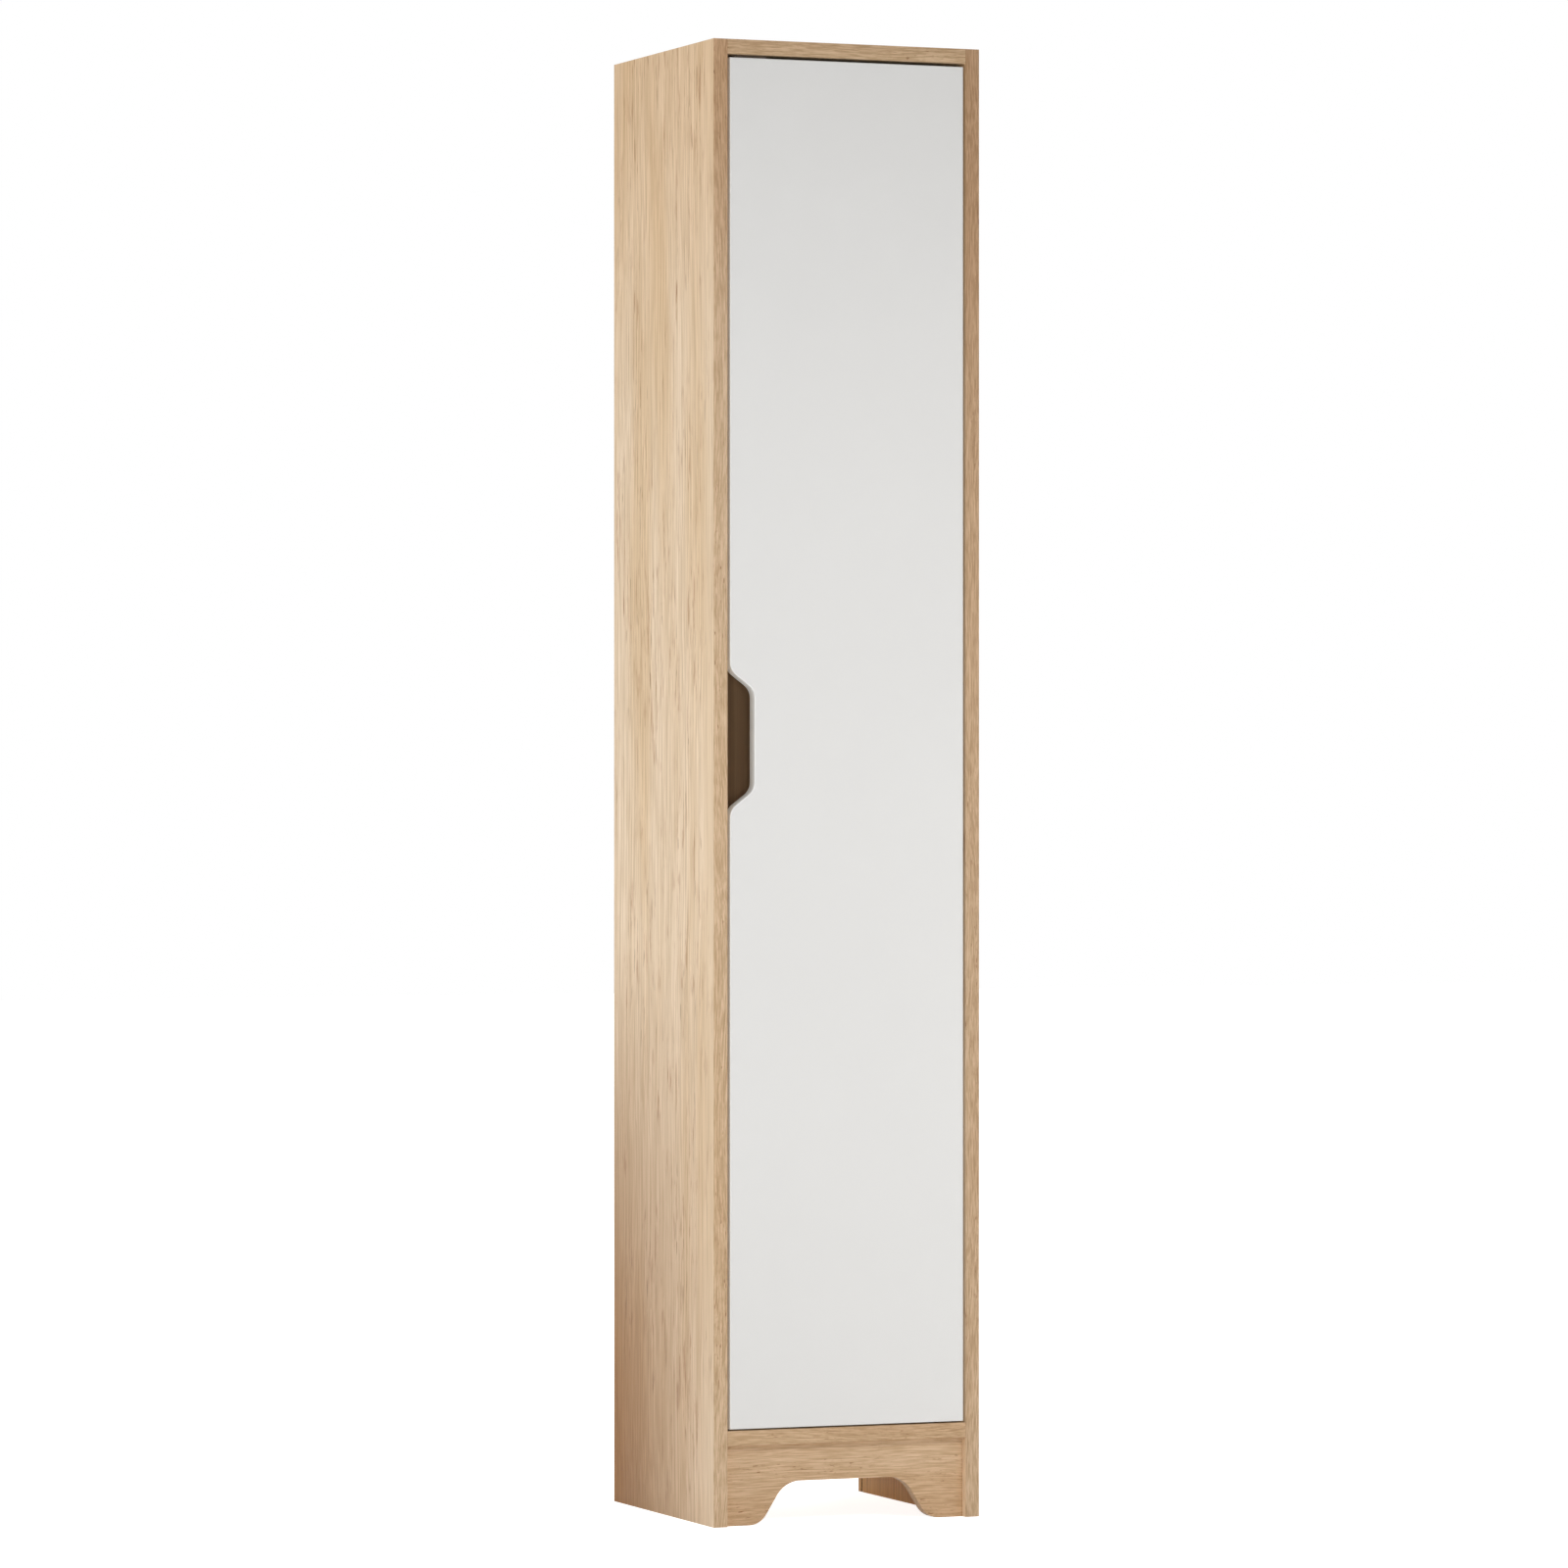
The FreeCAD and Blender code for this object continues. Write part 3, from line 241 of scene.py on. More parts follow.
def chipboardEnds(tree, colour, source, z, faceAxis):
    # Pressed chips of 1 to 3 mm in tan and brown, wherever the surface is turned more than 60 degrees from
    # the board's face, so that the normal's part on faceAxis is under a half
    facing = addNode(tree, "ShaderNodeSeparateXYZ", {0: source.outputs["Normal"]})
    square = addNode(tree, "ShaderNodeMath", {0: facing.outputs["XYZ".index(faceAxis)]}, operation="ABSOLUTE")
    cut = addNode(tree, "ShaderNodeMath", {0: square, 1: 0.5}, operation="LESS_THAN")
    if faceAxis == "X":             # the top ends of the sides carry an edge band
        bare = addNode(tree, "ShaderNodeMath", {0: z, 1: chipboard["bandFrom"] * mm}, operation="LESS_THAN")
        cut = addNode(tree, "ShaderNodeMath", {0: cut, 1: bare}, operation="MULTIPLY")
    chips = addNode(tree, "ShaderNodeTexVoronoi", {"Vector": source.outputs["Object"],
                                                   "Scale": 1000 / chipboard["chip"]})
    chipTone = addNode(tree, "ShaderNodeMix", {0: chips.outputs["Color"], 6: linearColour(chipboard["brown"]),
                                               7: linearColour(chipboard["tan"])}, **blend)
    return addNode(tree, "ShaderNodeMix", {0: cut, 6: colour, 7: chipTone}, **blend)


def oakMelamine(name, grainAxis, look, faceAxis=""):
    # The light tone drifts to the middle one, streaks, flecks, pores and growth lines mix their tones in, and
    # finer lines multiply the result. Paling near the front edge, darkening towards the head and, on the sides,
    # painted shade follow, and where faceAxis is given, the bare chipboard of the board's ends. Fine lines and
    # pores are pressed into the face.
    material, tree = newMaterial(name)
    source = addNode(tree, "ShaderNodeTexCoord")
    x, y, z = addNode(tree, "ShaderNodeSeparateXYZ", {0: source.outputs["Object"]}).outputs
    bent, noises, shares = grainMarks(tree, source.outputs["Object"], grainAxis, look)

    colour = addNode(tree, "ShaderNodeMix", {0: shares["drift"], 6: linearColour(look["light"]),
                                             7: linearColour(look["middle"])}, **blend)
    for mark, tone in (("streaks", "streak"), ("flecks", "fleck"), ("pores", "streak")):
        amount = addNode(tree, "ShaderNodeMath", {0: shares[mark], 1: shares["clusters"]}, operation="MULTIPLY")
        colour = addNode(tree, "ShaderNodeMix", {0: amount, 6: colour, 7: linearColour(look[tone])}, **blend)
    grown = growthLines(tree, bent, grainAxis, look)
    colour = addNode(tree, "ShaderNodeMix", {0: grown, 6: colour, 7: linearColour(look["streak"])}, **blend)
    for mark in ("fineLine", "mediumLine"):
        # a line darkens blue most and red least, so it reads brown and not grey; between lines the print
        # pales by half as much
        dark, pale = ([1 + side * look[mark + "Contrast"] * part for part in look["lineTint"]] + [1.0]
                      for side in (-1.0, 0.5))
        shade = addNode(tree, "ShaderNodeMix", {0: shares[mark], 6: dark, 7: pale}, **blend)
        colour = addNode(tree, "ShaderNodeMix", {0: 1.0, 6: colour, 7: shade}, **times)

    if look["plainShare"]:
        start, end = look["plainRun"]
        front = addNode(tree, "ShaderNodeMapRange", {0: y, 1: start * mm, 2: end * mm, 3: look["plainShare"],
                                                     4: 0.0}, **smooth)
        colour = addNode(tree, "ShaderNodeMix", {0: front, 6: colour, 7: linearColour(look["light"])}, **blend)
    if look["headShare"]:
        start, end = look["headRun"]
        head = addNode(tree, "ShaderNodeMapRange", {0: z, 1: start * mm, 2: end * mm, 3: 0.0,
                                                    4: look["headShare"]}, **smooth)
        colour = addNode(tree, "ShaderNodeMix", {0: head, 6: colour, 7: linearColour(look["head"])}, **times)
    # painted shade at the left side's rear foot and on the inner faces under the bottom panel
    if "foot" in look:
        colour = sidePaintedShade(tree, colour, (x, y, z), look)
    if faceAxis:
        colour = chipboardEnds(tree, colour, source, z, faceAxis)

    pressed = addNode(tree, "ShaderNodeMath", {0: noises["fineLine"], 1: noises["pores"]}, operation="SUBTRACT")
    bump = addNode(tree, "ShaderNodeBump", {"Strength": 0.5, "Distance": 0.12 * mm, "Height": pressed})
    rough = addNode(tree, "ShaderNodeMapRange", {0: noises["fineLine"], 1: 0.3, 2: 0.7,
                                                 3: look["roughness"][0], 4: look["roughness"][1]}, **smooth)
    shader = addNode(tree, "ShaderNodeBsdfPrincipled", {
        "Base Color": colour, "Normal": bump, "Roughness": rough, "Specular IOR Level": look["gloss"]})
    addNode(tree, "ShaderNodeOutputMaterial", {"Surface": shader})
    return material


lacquerLook = {
    "colour": "#E3E2E0",
    # painted highlight: the tone of the rounded rim and the edge walls
    "rim": "#FBFBFA",
    "highlightFacing": (0.6, 0.98),       # how far a face looks to the front where it is all rim, and where it isn't
    "cloud": 250,
    "cloudShade": 0.985,
    "peel": 2.6,
    "rubbingScale": 22.0,           # rubbed patches per metre
    "roughness": (0.38, 0.46),
    "gloss": 0.2,
}


def lacqueredMdf(name, look):
    # MDF sprayed with satin lacquer: an even white with faint clouds, a very fine orange peel, and rubbing
    # that dulls it in patches. A painted highlight makes the rounded rim and the edge walls whiter, where
    # |Normal.y| falls off.
    material, tree = newMaterial(name)
    source = addNode(tree, "ShaderNodeTexCoord")
    place = source.outputs["Object"]
    facing = addNode(tree, "ShaderNodeSeparateXYZ", {0: source.outputs["Normal"]})
    square = addNode(tree, "ShaderNodeMath", {0: facing.outputs[1]}, operation="ABSOLUTE")
    # painted highlight: faces that turn away from the front mix over to the whiter rim tone
    rim = addNode(tree, "ShaderNodeMapRange", {0: square, 1: look["highlightFacing"][0], 2: look["highlightFacing"][1],
                                               3: 1.0, 4: 0.0})
    coatAndHighlight = addNode(tree, "ShaderNodeMix", {0: rim, 6: linearColour(look["colour"]),
                                           7: linearColour(look["rim"])}, **blend)
    cloud = addNode(tree, "ShaderNodeTexNoise", {"Vector": place, "Scale": 1000 / look["cloud"], "Detail": 3.0})
    shade = addNode(tree, "ShaderNodeMapRange", {0: cloud, 1: 0.3, 2: 0.7, 3: look["cloudShade"], 4: 1.0})
    tint = addNode(tree, "ShaderNodeMix", {0: 1.0, 6: coatAndHighlight, 7: shade}, **times)
    peel = addNode(tree, "ShaderNodeTexNoise", {"Vector": place, "Scale": 1000 / look["peel"], "Detail": 2.0})
    rubbing = addNode(tree, "ShaderNodeTexNoise", {"Vector": place, "Scale": look["rubbingScale"],
                                                   "Detail": 4.0})
    rough = addNode(tree, "ShaderNodeMapRange", {0: rubbing, 1: 0.35, 2: 0.7, 3: look["roughness"][0],
                                                 4: look["roughness"][1]})
    bump = addNode(tree, "ShaderNodeBump", {"Strength": 0.35, "Distance": 0.06 * mm, "Height": peel})
    shader = addNode(tree, "ShaderNodeBsdfPrincipled", {"Base Color": tint, "Roughness": rough, "Normal": bump,
                                                        "Specular IOR Level": look["gloss"]})
    addNode(tree, "ShaderNodeOutputMaterial", {"Surface": shader})
    return material


hardboardLook = {
    "print": ("#EAC093", "#DAAD82"),
    "printLine": (3.0, 240),
    "fibre": ("#8B6A48", "#A98760"),
    "fibreSize": 1.6,
    "patch": "#77573A",
    "patchScale": 12.0,             # damp-darkened patches per metre
    "patchShare": 0.3,
    "rear": 159.2,                  # the back of the panel begins here
    "roughness": 0.62,
    "gloss": 0.2,
}


def hardboard(name, look):
    # Wet-pressed hardboard: a warm wood print on its front, two tones mixed by stretched noise, and bare
    # brown fibre on its back, two tones mixed by fine noise and darker in patches
    material, tree = newMaterial(name)
    place = addNode(tree, "ShaderNodeTexCoord").outputs["Object"]
    depth = addNode(tree, "ShaderNodeSeparateXYZ", {0: place})
    rear = addNode(tree, "ShaderNodeMath", {0: depth.outputs[1], 1: look["rear"] * mm},
                   operation="GREATER_THAN")
    fibre = addNode(tree, "ShaderNodeTexNoise", {"Vector": place, "Scale": 1000 / look["fibreSize"],
                                                 "Detail": 5.0})
    bare = addNode(tree, "ShaderNodeMix", {0: fibre, 6: linearColour(look["fibre"][0]),
                                           7: linearColour(look["fibre"][1])}, **blend)
    patches = addNode(tree, "ShaderNodeTexNoise", {"Vector": place, "Scale": look["patchScale"], "Detail": 3.0})
    patchy = addNode(tree, "ShaderNodeMapRange", {0: patches, 1: 0.4, 2: 0.7, 3: 0.0, 4: look["patchShare"]})
    bare = addNode(tree, "ShaderNodeMix", {0: patchy, 6: bare, 7: linearColour(look["patch"])}, **blend)
    mapped = addNode(tree, "ShaderNodeMapping", {"Vector": place, "Scale": grainScale("Z", *look["printLine"])})
    lines = addNode(tree, "ShaderNodeTexNoise", {"Vector": mapped, "Scale": 1.0, "Detail": 3.0})
    lined = addNode(tree, "ShaderNodeMapRange", {0: lines, 1: 0.35, 2: 0.65, 3: 0.0, 4: 1.0})
    printed = addNode(tree, "ShaderNodeMix", {0: lined, 6: linearColour(look["print"][0]),
                                              7: linearColour(look["print"][1])}, **blend)
    colour = addNode(tree, "ShaderNodeMix", {0: rear, 6: printed, 7: bare}, **blend)
    bump = addNode(tree, "ShaderNodeBump", {"Strength": 0.5, "Distance": 0.15 * mm, "Height": fibre})
    shader = addNode(tree, "ShaderNodeBsdfPrincipled", {
        "Base Color": colour, "Roughness": look["roughness"], "Normal": bump,
        "Specular IOR Level": look["gloss"]})
    addNode(tree, "ShaderNodeOutputMaterial", {"Surface": shader})
    return material


metalLooks = {
    "nickel": {"name": "steelNickelPlatedPressed", "colour": "#C9C6C0", "roughness": (0.22, 0.40),
               "lines": (0.35, 12)},
    "screwSteel": {"name": "steelZincPlatedTurned", "colour": "#C4C5C6", "roughness": (0.20, 0.38),
                   "lines": (0.3, 5)},
    "zinc": {"name": "zincDieCast", "colour": "#A2A4A6", "roughness": (0.38, 0.56), "lines": (0.5, 0.5)},
}


def platedMetal(look):
    # Pressed or turned steel under a thin plating, or die-cast zinc: a pale metal with fine tool lines, or a
    # sandy skin where the lines are as long as wide, and dull patches of about 6 mm where it was handled
    material, tree = newMaterial(look["name"])
    place = addNode(tree, "ShaderNodeTexCoord").outputs["Object"]
    mapped = addNode(tree, "ShaderNodeMapping", {"Vector": place, "Scale": grainScale("Z", *look["lines"])})
    lines = addNode(tree, "ShaderNodeTexNoise", {"Vector": mapped, "Scale": 1.0, "Detail": 2.0})
    patches = addNode(tree, "ShaderNodeTexNoise", {"Vector": place, "Scale": 160.0, "Detail": 3.0})
    shade = addNode(tree, "ShaderNodeMapRange", {0: patches, 1: 0.3, 2: 0.75, 3: 1.0, 4: 0.84})
    tint = addNode(tree, "ShaderNodeMix", {0: 1.0, 6: linearColour(look["colour"]), 7: shade}, **times)
    rough = addNode(tree, "ShaderNodeMapRange", {0: lines, 1: 0.25, 2: 0.75, 3: look["roughness"][0],
                                                 4: look["roughness"][1]})
    bump = addNode(tree, "ShaderNodeBump", {"Strength": 0.4, "Distance": 0.03 * mm, "Height": lines})
    shader = addNode(tree, "ShaderNodeBsdfPrincipled", {"Base Color": tint, "Roughness": rough, "Normal": bump,
                                                        "Metallic": 1.0})
    addNode(tree, "ShaderNodeOutputMaterial", {"Surface": shader})
    return material


skinLooks = {
    "plasticBrown": {"name": "absMouldedBrown", "tones": ("#45301F", "#553D2B"), "grit": 0.7,
                     "roughness": 0.42},
    "beech": {"name": "beechTurned", "tones": ("#D8B184", "#B0855A"), "grit": 0.8, "roughness": 0.6},
    "magnet": {"name": "ferriteSintered", "tones": ("#2A2A2C", "#3D3D40"), "grit": 0.4, "roughness": 0.6},
}


def fineSkin(look):
    # Spark-eroded ABS, turned beech or sintered ferrite: two near tones mixed by a fine grit, which also
    # roughens the face
    material, tree = newMaterial(look["name"])
    place = addNode(tree, "ShaderNodeTexCoord").outputs["Object"]
    grit = addNode(tree, "ShaderNodeTexNoise", {"Vector": place, "Scale": 1000 / look["grit"], "Detail": 3.0})
    spread = addNode(tree, "ShaderNodeMapRange", {0: grit, 1: 0.35, 2: 0.65, 3: 0.0, 4: 1.0})
    tint = addNode(tree, "ShaderNodeMix", {0: spread, 6: linearColour(look["tones"][0]),
                                           7: linearColour(look["tones"][1])}, **blend)
    bump = addNode(tree, "ShaderNodeBump", {"Strength": 0.5, "Distance": 0.06 * mm, "Height": grit})
    shader = addNode(tree, "ShaderNodeBsdfPrincipled", {"Base Color": tint, "Roughness": look["roughness"],
                                                        "Normal": bump})
    addNode(tree, "ShaderNodeOutputMaterial", {"Surface": shader})
    return material


finishes = {
    "oakSide": oakMelamine("oakMelaminePressedSide", "Z", sideLook, "X"),
    "oakLying": oakMelamine("oakMelaminePressedLying", "X", oakLook, "Z"),
    "oakPlinth": oakMelamine("oakMelaminePressedPlinth", "X", plinthLook),
    "leftEdge": oakMelamine("oakEdgeBandIronedLeft", "Z", edgeLook),
    "rightEdge": oakMelamine("oakEdgeBandIronedRight", "Z", rightEdgeLook),
    "lyingEdge": oakMelamine("oakEdgeBandIronedLying", "X", lyingEdgeLook),
    "doorWhite": lacqueredMdf("mdfSatinLacqueredWhite", lacquerLook),
    "hardboard": hardboard("hardboardPrintedFace", hardboardLook),
    **{key: platedMetal(look) for key, look in metalLooks.items()},
    **{key: fineSkin(look) for key, look in skinLooks.items()},
}
finishOfNode = {
    "door_panel": "doorWhite", "back_panel": "hardboard", "plinth_board": "oakPlinth",
    "left_side_panel": "oakSide", "right_side_panel": "oakSide",
    "top_panel": "oakLying", "bottom_panel": "oakLying", "fixed_shelf": "oakLying",
    "loose_shelf_1": "oakLying", "loose_shelf_2": "oakLying", "loose_shelf_3": "oakLying",
    "wooden_dowels": "beech", "cam_bolts": "screwSteel", "hinge_pins": "screwSteel",
    "catch_body": "plasticBrown", "catch_magnet": "magnet", "wall_bracket": "nickel",
}
for name, finish in finishOfNode.items():
    for slot in nodes[name].material_slots:
        slot.material = finishes[finish]
print("materials set on", len(finishOfNode), "boards and fittings")

# how finely a surface is drawn, and the angle in degrees from which an edge stays sharp
drawing = {"cornerSteps": 6, "rimSteps": 4, "sharpAngle": 38, "longestMitre": 0.35}


def arc(centre, radius, fromAngle, toAngle, steps):
    # centre + radius * (cos t, sin t), with t running evenly between two angles in degrees
    t = np.radians(np.linspace(fromAngle, toAngle, steps + 1))
    return np.stack([centre[0] + radius * np.cos(t), centre[1] + radius * np.sin(t)], axis=1)


def roundedCorner(before, corner, after, radius):
    # the arc of this radius that touches the run from before to corner and the run from corner to after
    before, corner, after = (np.array(point, float) for point in (before, corner, after))
    one = (before - corner) / np.linalg.norm(before - corner)
    two = (after - corner) / np.linalg.norm(after - corner)
    half = math.acos(np.clip(one @ two, -1, 1)) / 2
    middle = (one + two) / np.linalg.norm(one + two)
    centre = corner + middle * radius / math.sin(half)
    start = corner + one * radius / math.tan(half) - centre
    end = corner + two * radius / math.tan(half) - centre
    startAngle = math.degrees(math.atan2(start[1], start[0]))
    turn = (math.degrees(math.atan2(end[1], end[0])) - startAngle + 180) % 360 - 180
    return arc(centre, radius, startAngle, startAngle + turn, drawing["cornerSteps"])


def turnedSurface(profile, start, direction, around, recess=None):
    # Surface of revolution: start + along * axis + radius * (cos t * first + sin t * second), t going once
    # round, for a profile of rows (along, radius). A cross recess sinks the points whose distance from the
    # nearer arm is under half its width, above the depth given as topOnly.
    along, radius = np.asarray(profile, float).T
    turn = np.linspace(0, 2 * np.pi, around, endpoint=False)
    axis = np.asarray(direction, float)
    first = np.array([1.0, 0, 0]) if abs(axis[2]) > 0.5 else np.array([0, 0, 1.0])
    second = np.cross(axis, first)
    across, beside = np.outer(radius, np.cos(turn)), np.outer(radius, np.sin(turn))
    depth = np.repeat(along[:, None], around, axis=1)
    if recess:
        toArm = np.minimum(abs(across), abs(beside))
        inArm = np.clip((recess["width"] / 2 - toArm) / recess["slope"] + 0.5, 0, 1)
        inReach = np.clip((recess["reach"] - np.hypot(across, beside)) / recess["slope"] + 0.5, 0, 1)
        depth += recess["depth"] * inArm * inReach * (depth < recess["topOnly"])
    points = depth[..., None] * axis + across[..., None] * first + beside[..., None] * second
    return (points + np.asarray(start, float)) * mm


def plateSurface(outline, base, thickness, rounding, axes):
    # A flat piece with rounded rims. The outline, a closed chain of (a, b), is carried from one face to the
    # other; at each rim it steps in by r * (1 - sin s) while it rises by r * (1 - cos s), for its own r and
    # s from 0 to a quarter turn. A step in at a corner follows the mitre of its two runs.
    outline = np.asarray(outline, float)
    ahead = np.roll(outline, -1, axis=0) - outline
    ahead /= np.linalg.norm(ahead, axis=1)[:, None]
    normal = np.stack([ahead[:, 1], -ahead[:, 0]], axis=1)
    atCorner = normal + np.roll(normal, 1, axis=0)
    atCorner /= np.maximum((atCorner * normal).sum(axis=1), drawing["longestMitre"])[:, None]
    after = np.roll(outline, -1, axis=0)
    if np.sum(outline[:, 0] * after[:, 1] - after[:, 0] * outline[:, 1]) < 0:
        atCorner = -atCorner
    low, high = np.broadcast_to(rounding, 2)
    s = np.linspace(0, np.pi / 2, drawing["rimSteps"] + 1)
    inset = np.concatenate([low * (1 - np.sin(s)), high * (1 - np.sin(s[::-1]))])
    rise = np.concatenate([low * (1 - np.cos(s)), thickness - high * (1 - np.cos(s[::-1]))])
    flat = outline[None] - atCorner[None] * inset[:, None, None]
    points = np.zeros(flat.shape[:2] + (3,))
    points[..., axes[0]], points[..., axes[1]] = flat[..., 0], flat[..., 1]
    points[..., axes[2]] = base + rise[:, None]
    return points * mm


def makePiece(name, surfaces, body, finish, replaced):
    # Each surface is rings x around x 3, in metres. Neighbouring rings are joined by quads that close round
    # the piece, and its first and last ring are each closed by one flat face.
    points, faces, start = [], [], 0
    for surface in surfaces:
        rings, around, _ = surface.shape
        index = start + np.arange(rings * around).reshape(rings, around)
        after = np.roll(index, -1, axis=1)
        quads = np.stack([index[:-1], after[:-1], after[1:], index[1:]], axis=-1).reshape(-1, 4)
        faces += quads.tolist() + [index[0, ::-1].tolist(), index[-1].tolist()]
        points.append(surface.reshape(-1, 3))
        start += rings * around
    mesh = bpy.data.meshes.new(name)
    mesh.from_pydata(np.concatenate(points).tolist(), [], faces)
    work = bmesh.new()
    work.from_mesh(mesh)
    bmesh.ops.remove_doubles(work, verts=work.verts, dist=0.002 * mm)
    bmesh.ops.dissolve_degenerate(work, edges=work.edges, dist=0.001 * mm)
    bmesh.ops.recalc_face_normals(work, faces=work.faces)
    work.to_mesh(mesh)
    work.free()
    mesh.shade_smooth()
    mesh.set_sharp_from_angle(angle=math.radians(drawing["sharpAngle"]))
    mesh.materials.append(finishes[finish])
    piece = bpy.data.objects.new(name, mesh)
    bpy.context.scene.collection.objects.link(piece)
    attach(piece, body)
    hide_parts(replaced)


edging = {"rounding": 0.55, "finishOf": {"left_side_edging": "leftEdge", "right_side_edging": "rightEdge"}}


def makeEdging(node):
    # a strip ironed on the front of a board: the board's rectangle, rounded over at its front rim
    low, high = (np.array(corner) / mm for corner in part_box(node))
    outline = [(low[0], low[2]), (high[0], low[2]), (high[0], high[2]), (low[0], high[2])]
    strip = plateSurface(outline, low[1], high[1] - low[1], (edging["rounding"], 0.0), (0, 2, 1))
    makePiece(node.replace("_", "-") + "-ironed", [strip], "carcass",
              edging["finishOf"].get(node, "lyingEdge"), node)


for node in [name for name in nodes if name.endswith("_edging")]:
    makeEdging(node)
print("edge bands made")


hinges = {
    "heights": {"bottom": 218.0, "middle": 947.9, "top": 1677.8},
    "cupX": 131.8,
    "earOffset": 6.0,               # the cup's screws stand this far towards the door's middle
    "earSpacing": 48.0,
    "armTop": 143.5,                # x of the arm's outer face over the rail
}
screws = {
    "headRadius": 3.4,
    "headHeight": 2.2,
    "flatShare": 0.62,              # the flat top's share of the head's radius
    "point": 2.0,
    "recess": {"width": 0.85, "reach": 2.3, "depth": 1.3, "slope": 0.25, "topOnly": -1.5},
    # node: body, shank radius, shank length, direction, places of the heads' seats
    "sets": {
        "hinge_cup_screws": (
            "door", 1.9, 12.0, (0, -1, 0),
            [(hinges["cupX"] - hinges["earOffset"], -152.8, z + side * hinges["earSpacing"] / 2)
             for z in hinges["heights"].values() for side in (-1, 1)]),
        "hinge_plate_screws": (
            "carcass", 2.4, 11.5, (1, 0, 0),
            [(155.0, -117.0, z + side * 16) for z in hinges["heights"].values() for side in (-1, 1)]),
        "hinge_arm_screws": (
            "carcass", 2.4, 11.5, (1, 0, 0),
            [(hinges["armTop"], y, z) for z in hinges["heights"].values() for y in (-110.0, -86.0)]),
        "catch_screws": (
            "carcass", 1.6, 17.0, (0, 0, 1), [(-120 + side * 17, -144.5, 1777.0) for side in (-1, 1)]),
        "strike_screws": (
            "door", 1.6, 12.0, (0, -1, 0), [(-120 + side * 18, -152.8, 1769.8) for side in (-1, 1)]),
        "wall_bracket_screws": (
            "carcass", 2.0, 15.0, (0, 0, 1), [(side * 8, 132.0, 1780.0) for side in (-1, 1)]),
    },
}


def screwSurface(start, direction, shankRadius, length):
    # pan head: a flat top with a cross recess, a quarter ellipse as its shoulder and a plain shank
    radius, height, flat = screws["headRadius"], screws["headHeight"], screws["flatShare"]
    top = np.stack([np.full(9, -height), np.linspace(0.02, flat, 9) * radius], axis=1)
    s = np.linspace(0.15, np.pi / 2, 8)
    shoulder = np.stack([-height * np.cos(s), radius * (flat + (1 - flat) * np.sin(s))], axis=1)
    shank = [(0, shankRadius), (length - screws["point"], shankRadius), (length, 0.1)]
    return turnedSurface(np.vstack([top, shoulder, shank]), start, direction, 48, screws["recess"])


for node, (body, shankRadius, length, direction, places) in screws["sets"].items():
    surfaces = [screwSurface(place, direction, shankRadius, length) for place in places]
    makePiece(node.replace("_", "-") + "-turned", surfaces, body, "screwSteel", node)

nails = {"heights": (107.0, 780.6), "places": (-117.0, 0.0, 117.0), "rear": 160.0, "headRadius": 2.4,
         "shaftRadius": 0.8, "length": 18.0, "point": 1.5}
# a low domed head, a plain shaft and a point
nailProfile = [(-0.7, 0.05), (-0.68, 1.4), (-0.5, 2.1), (-0.2, nails["headRadius"]),
               (0.0, nails["headRadius"]), (0.0, nails["shaftRadius"]),
               (nails["length"] - nails["point"], nails["shaftRadius"]), (nails["length"], 0.05)]
makePiece("back-panel-nails-drawn",
          [turnedSurface(nailProfile, (x, nails["rear"], z), (0, -1, 0), 28)
           for z in nails["heights"] for x in nails["places"]],
          "carcass", "screwSteel", "back_panel_nails")

shelfPins = {"undersides": (434.8, 1108.4, 1445.2), "depths": (-86.0, 115.0), "sideFace": 157.0,
             "stemLength": 8.5, "stemRadius": 2.45, "pegRadius": 3.0, "pegLength": 7.0}
# a stem in the side, a collar with a rounded rim and a peg with a domed end
pinProfile = np.vstack([[(-shelfPins["stemLength"], 0.1), (-shelfPins["stemLength"], 2.1),
                         (-8.1, shelfPins["stemRadius"]), (0, shelfPins["stemRadius"]), (0, 3.3)],
                        arc((0.4, 3.2), 0.4, 180, 0, 8),
                        [(0.8, shelfPins["pegRadius"])],
                        arc((6.2, 2.2), 0.8, 90, 0, 6),
                        [(shelfPins["pegLength"], 0.1)]])
for number, underside in enumerate(shelfPins["undersides"], start=1):
    pegHeight = underside - shelfPins["pegRadius"]
    surfaces = [turnedSurface(pinProfile, (side * shelfPins["sideFace"], y, pegHeight), (-side, 0, 0), 32)
                for side in (-1, 1) for y in shelfPins["depths"]]
    makePiece("shelf-pins-" + str(number) + "-turned", surfaces, "carcass", "screwSteel",
              "shelf_pins_" + str(number))
print("screws, nails and shelf pins made")


camDiscs = {
    "radius": 7.4,
    "height": 13.4,
    "rim": 0.8,
    "driverRadius": 5.4,
    "centreX": 123.0,
    "rows": ((98.0, -121.2), (98.0, 109.0), (771.6, -77.2), (771.6, 109.0), (1782.0, -121.2),
             (1782.0, 122.0)),       # height of the driver face, and y
    "recess": {"width": 1.9, "reach": 4.3, "depth": 3.0, "slope": 0.4, "topOnly": 0.05},
}
# a flat driver face with a cross recess, a rounded rim and a straight wall
camProfile = np.vstack([np.stack([np.zeros(12), np.linspace(0.1, camDiscs["driverRadius"], 12)], axis=1),
                        arc((camDiscs["rim"], camDiscs["radius"] - camDiscs["rim"]), camDiscs["rim"],
                            180, 90, 6),
                        [(camDiscs["height"], camDiscs["radius"]), (camDiscs["height"], 0.1)]])
makePiece("cam-discs-cast",
          [turnedSurface(camProfile, (side * camDiscs["centreX"], y, z), (0, 0, 1), 56, camDiscs["recess"])
           for z, y in camDiscs["rows"] for side in (-1, 1)],
          "carcass", "zinc", "cam_discs")
print("cam discs made")


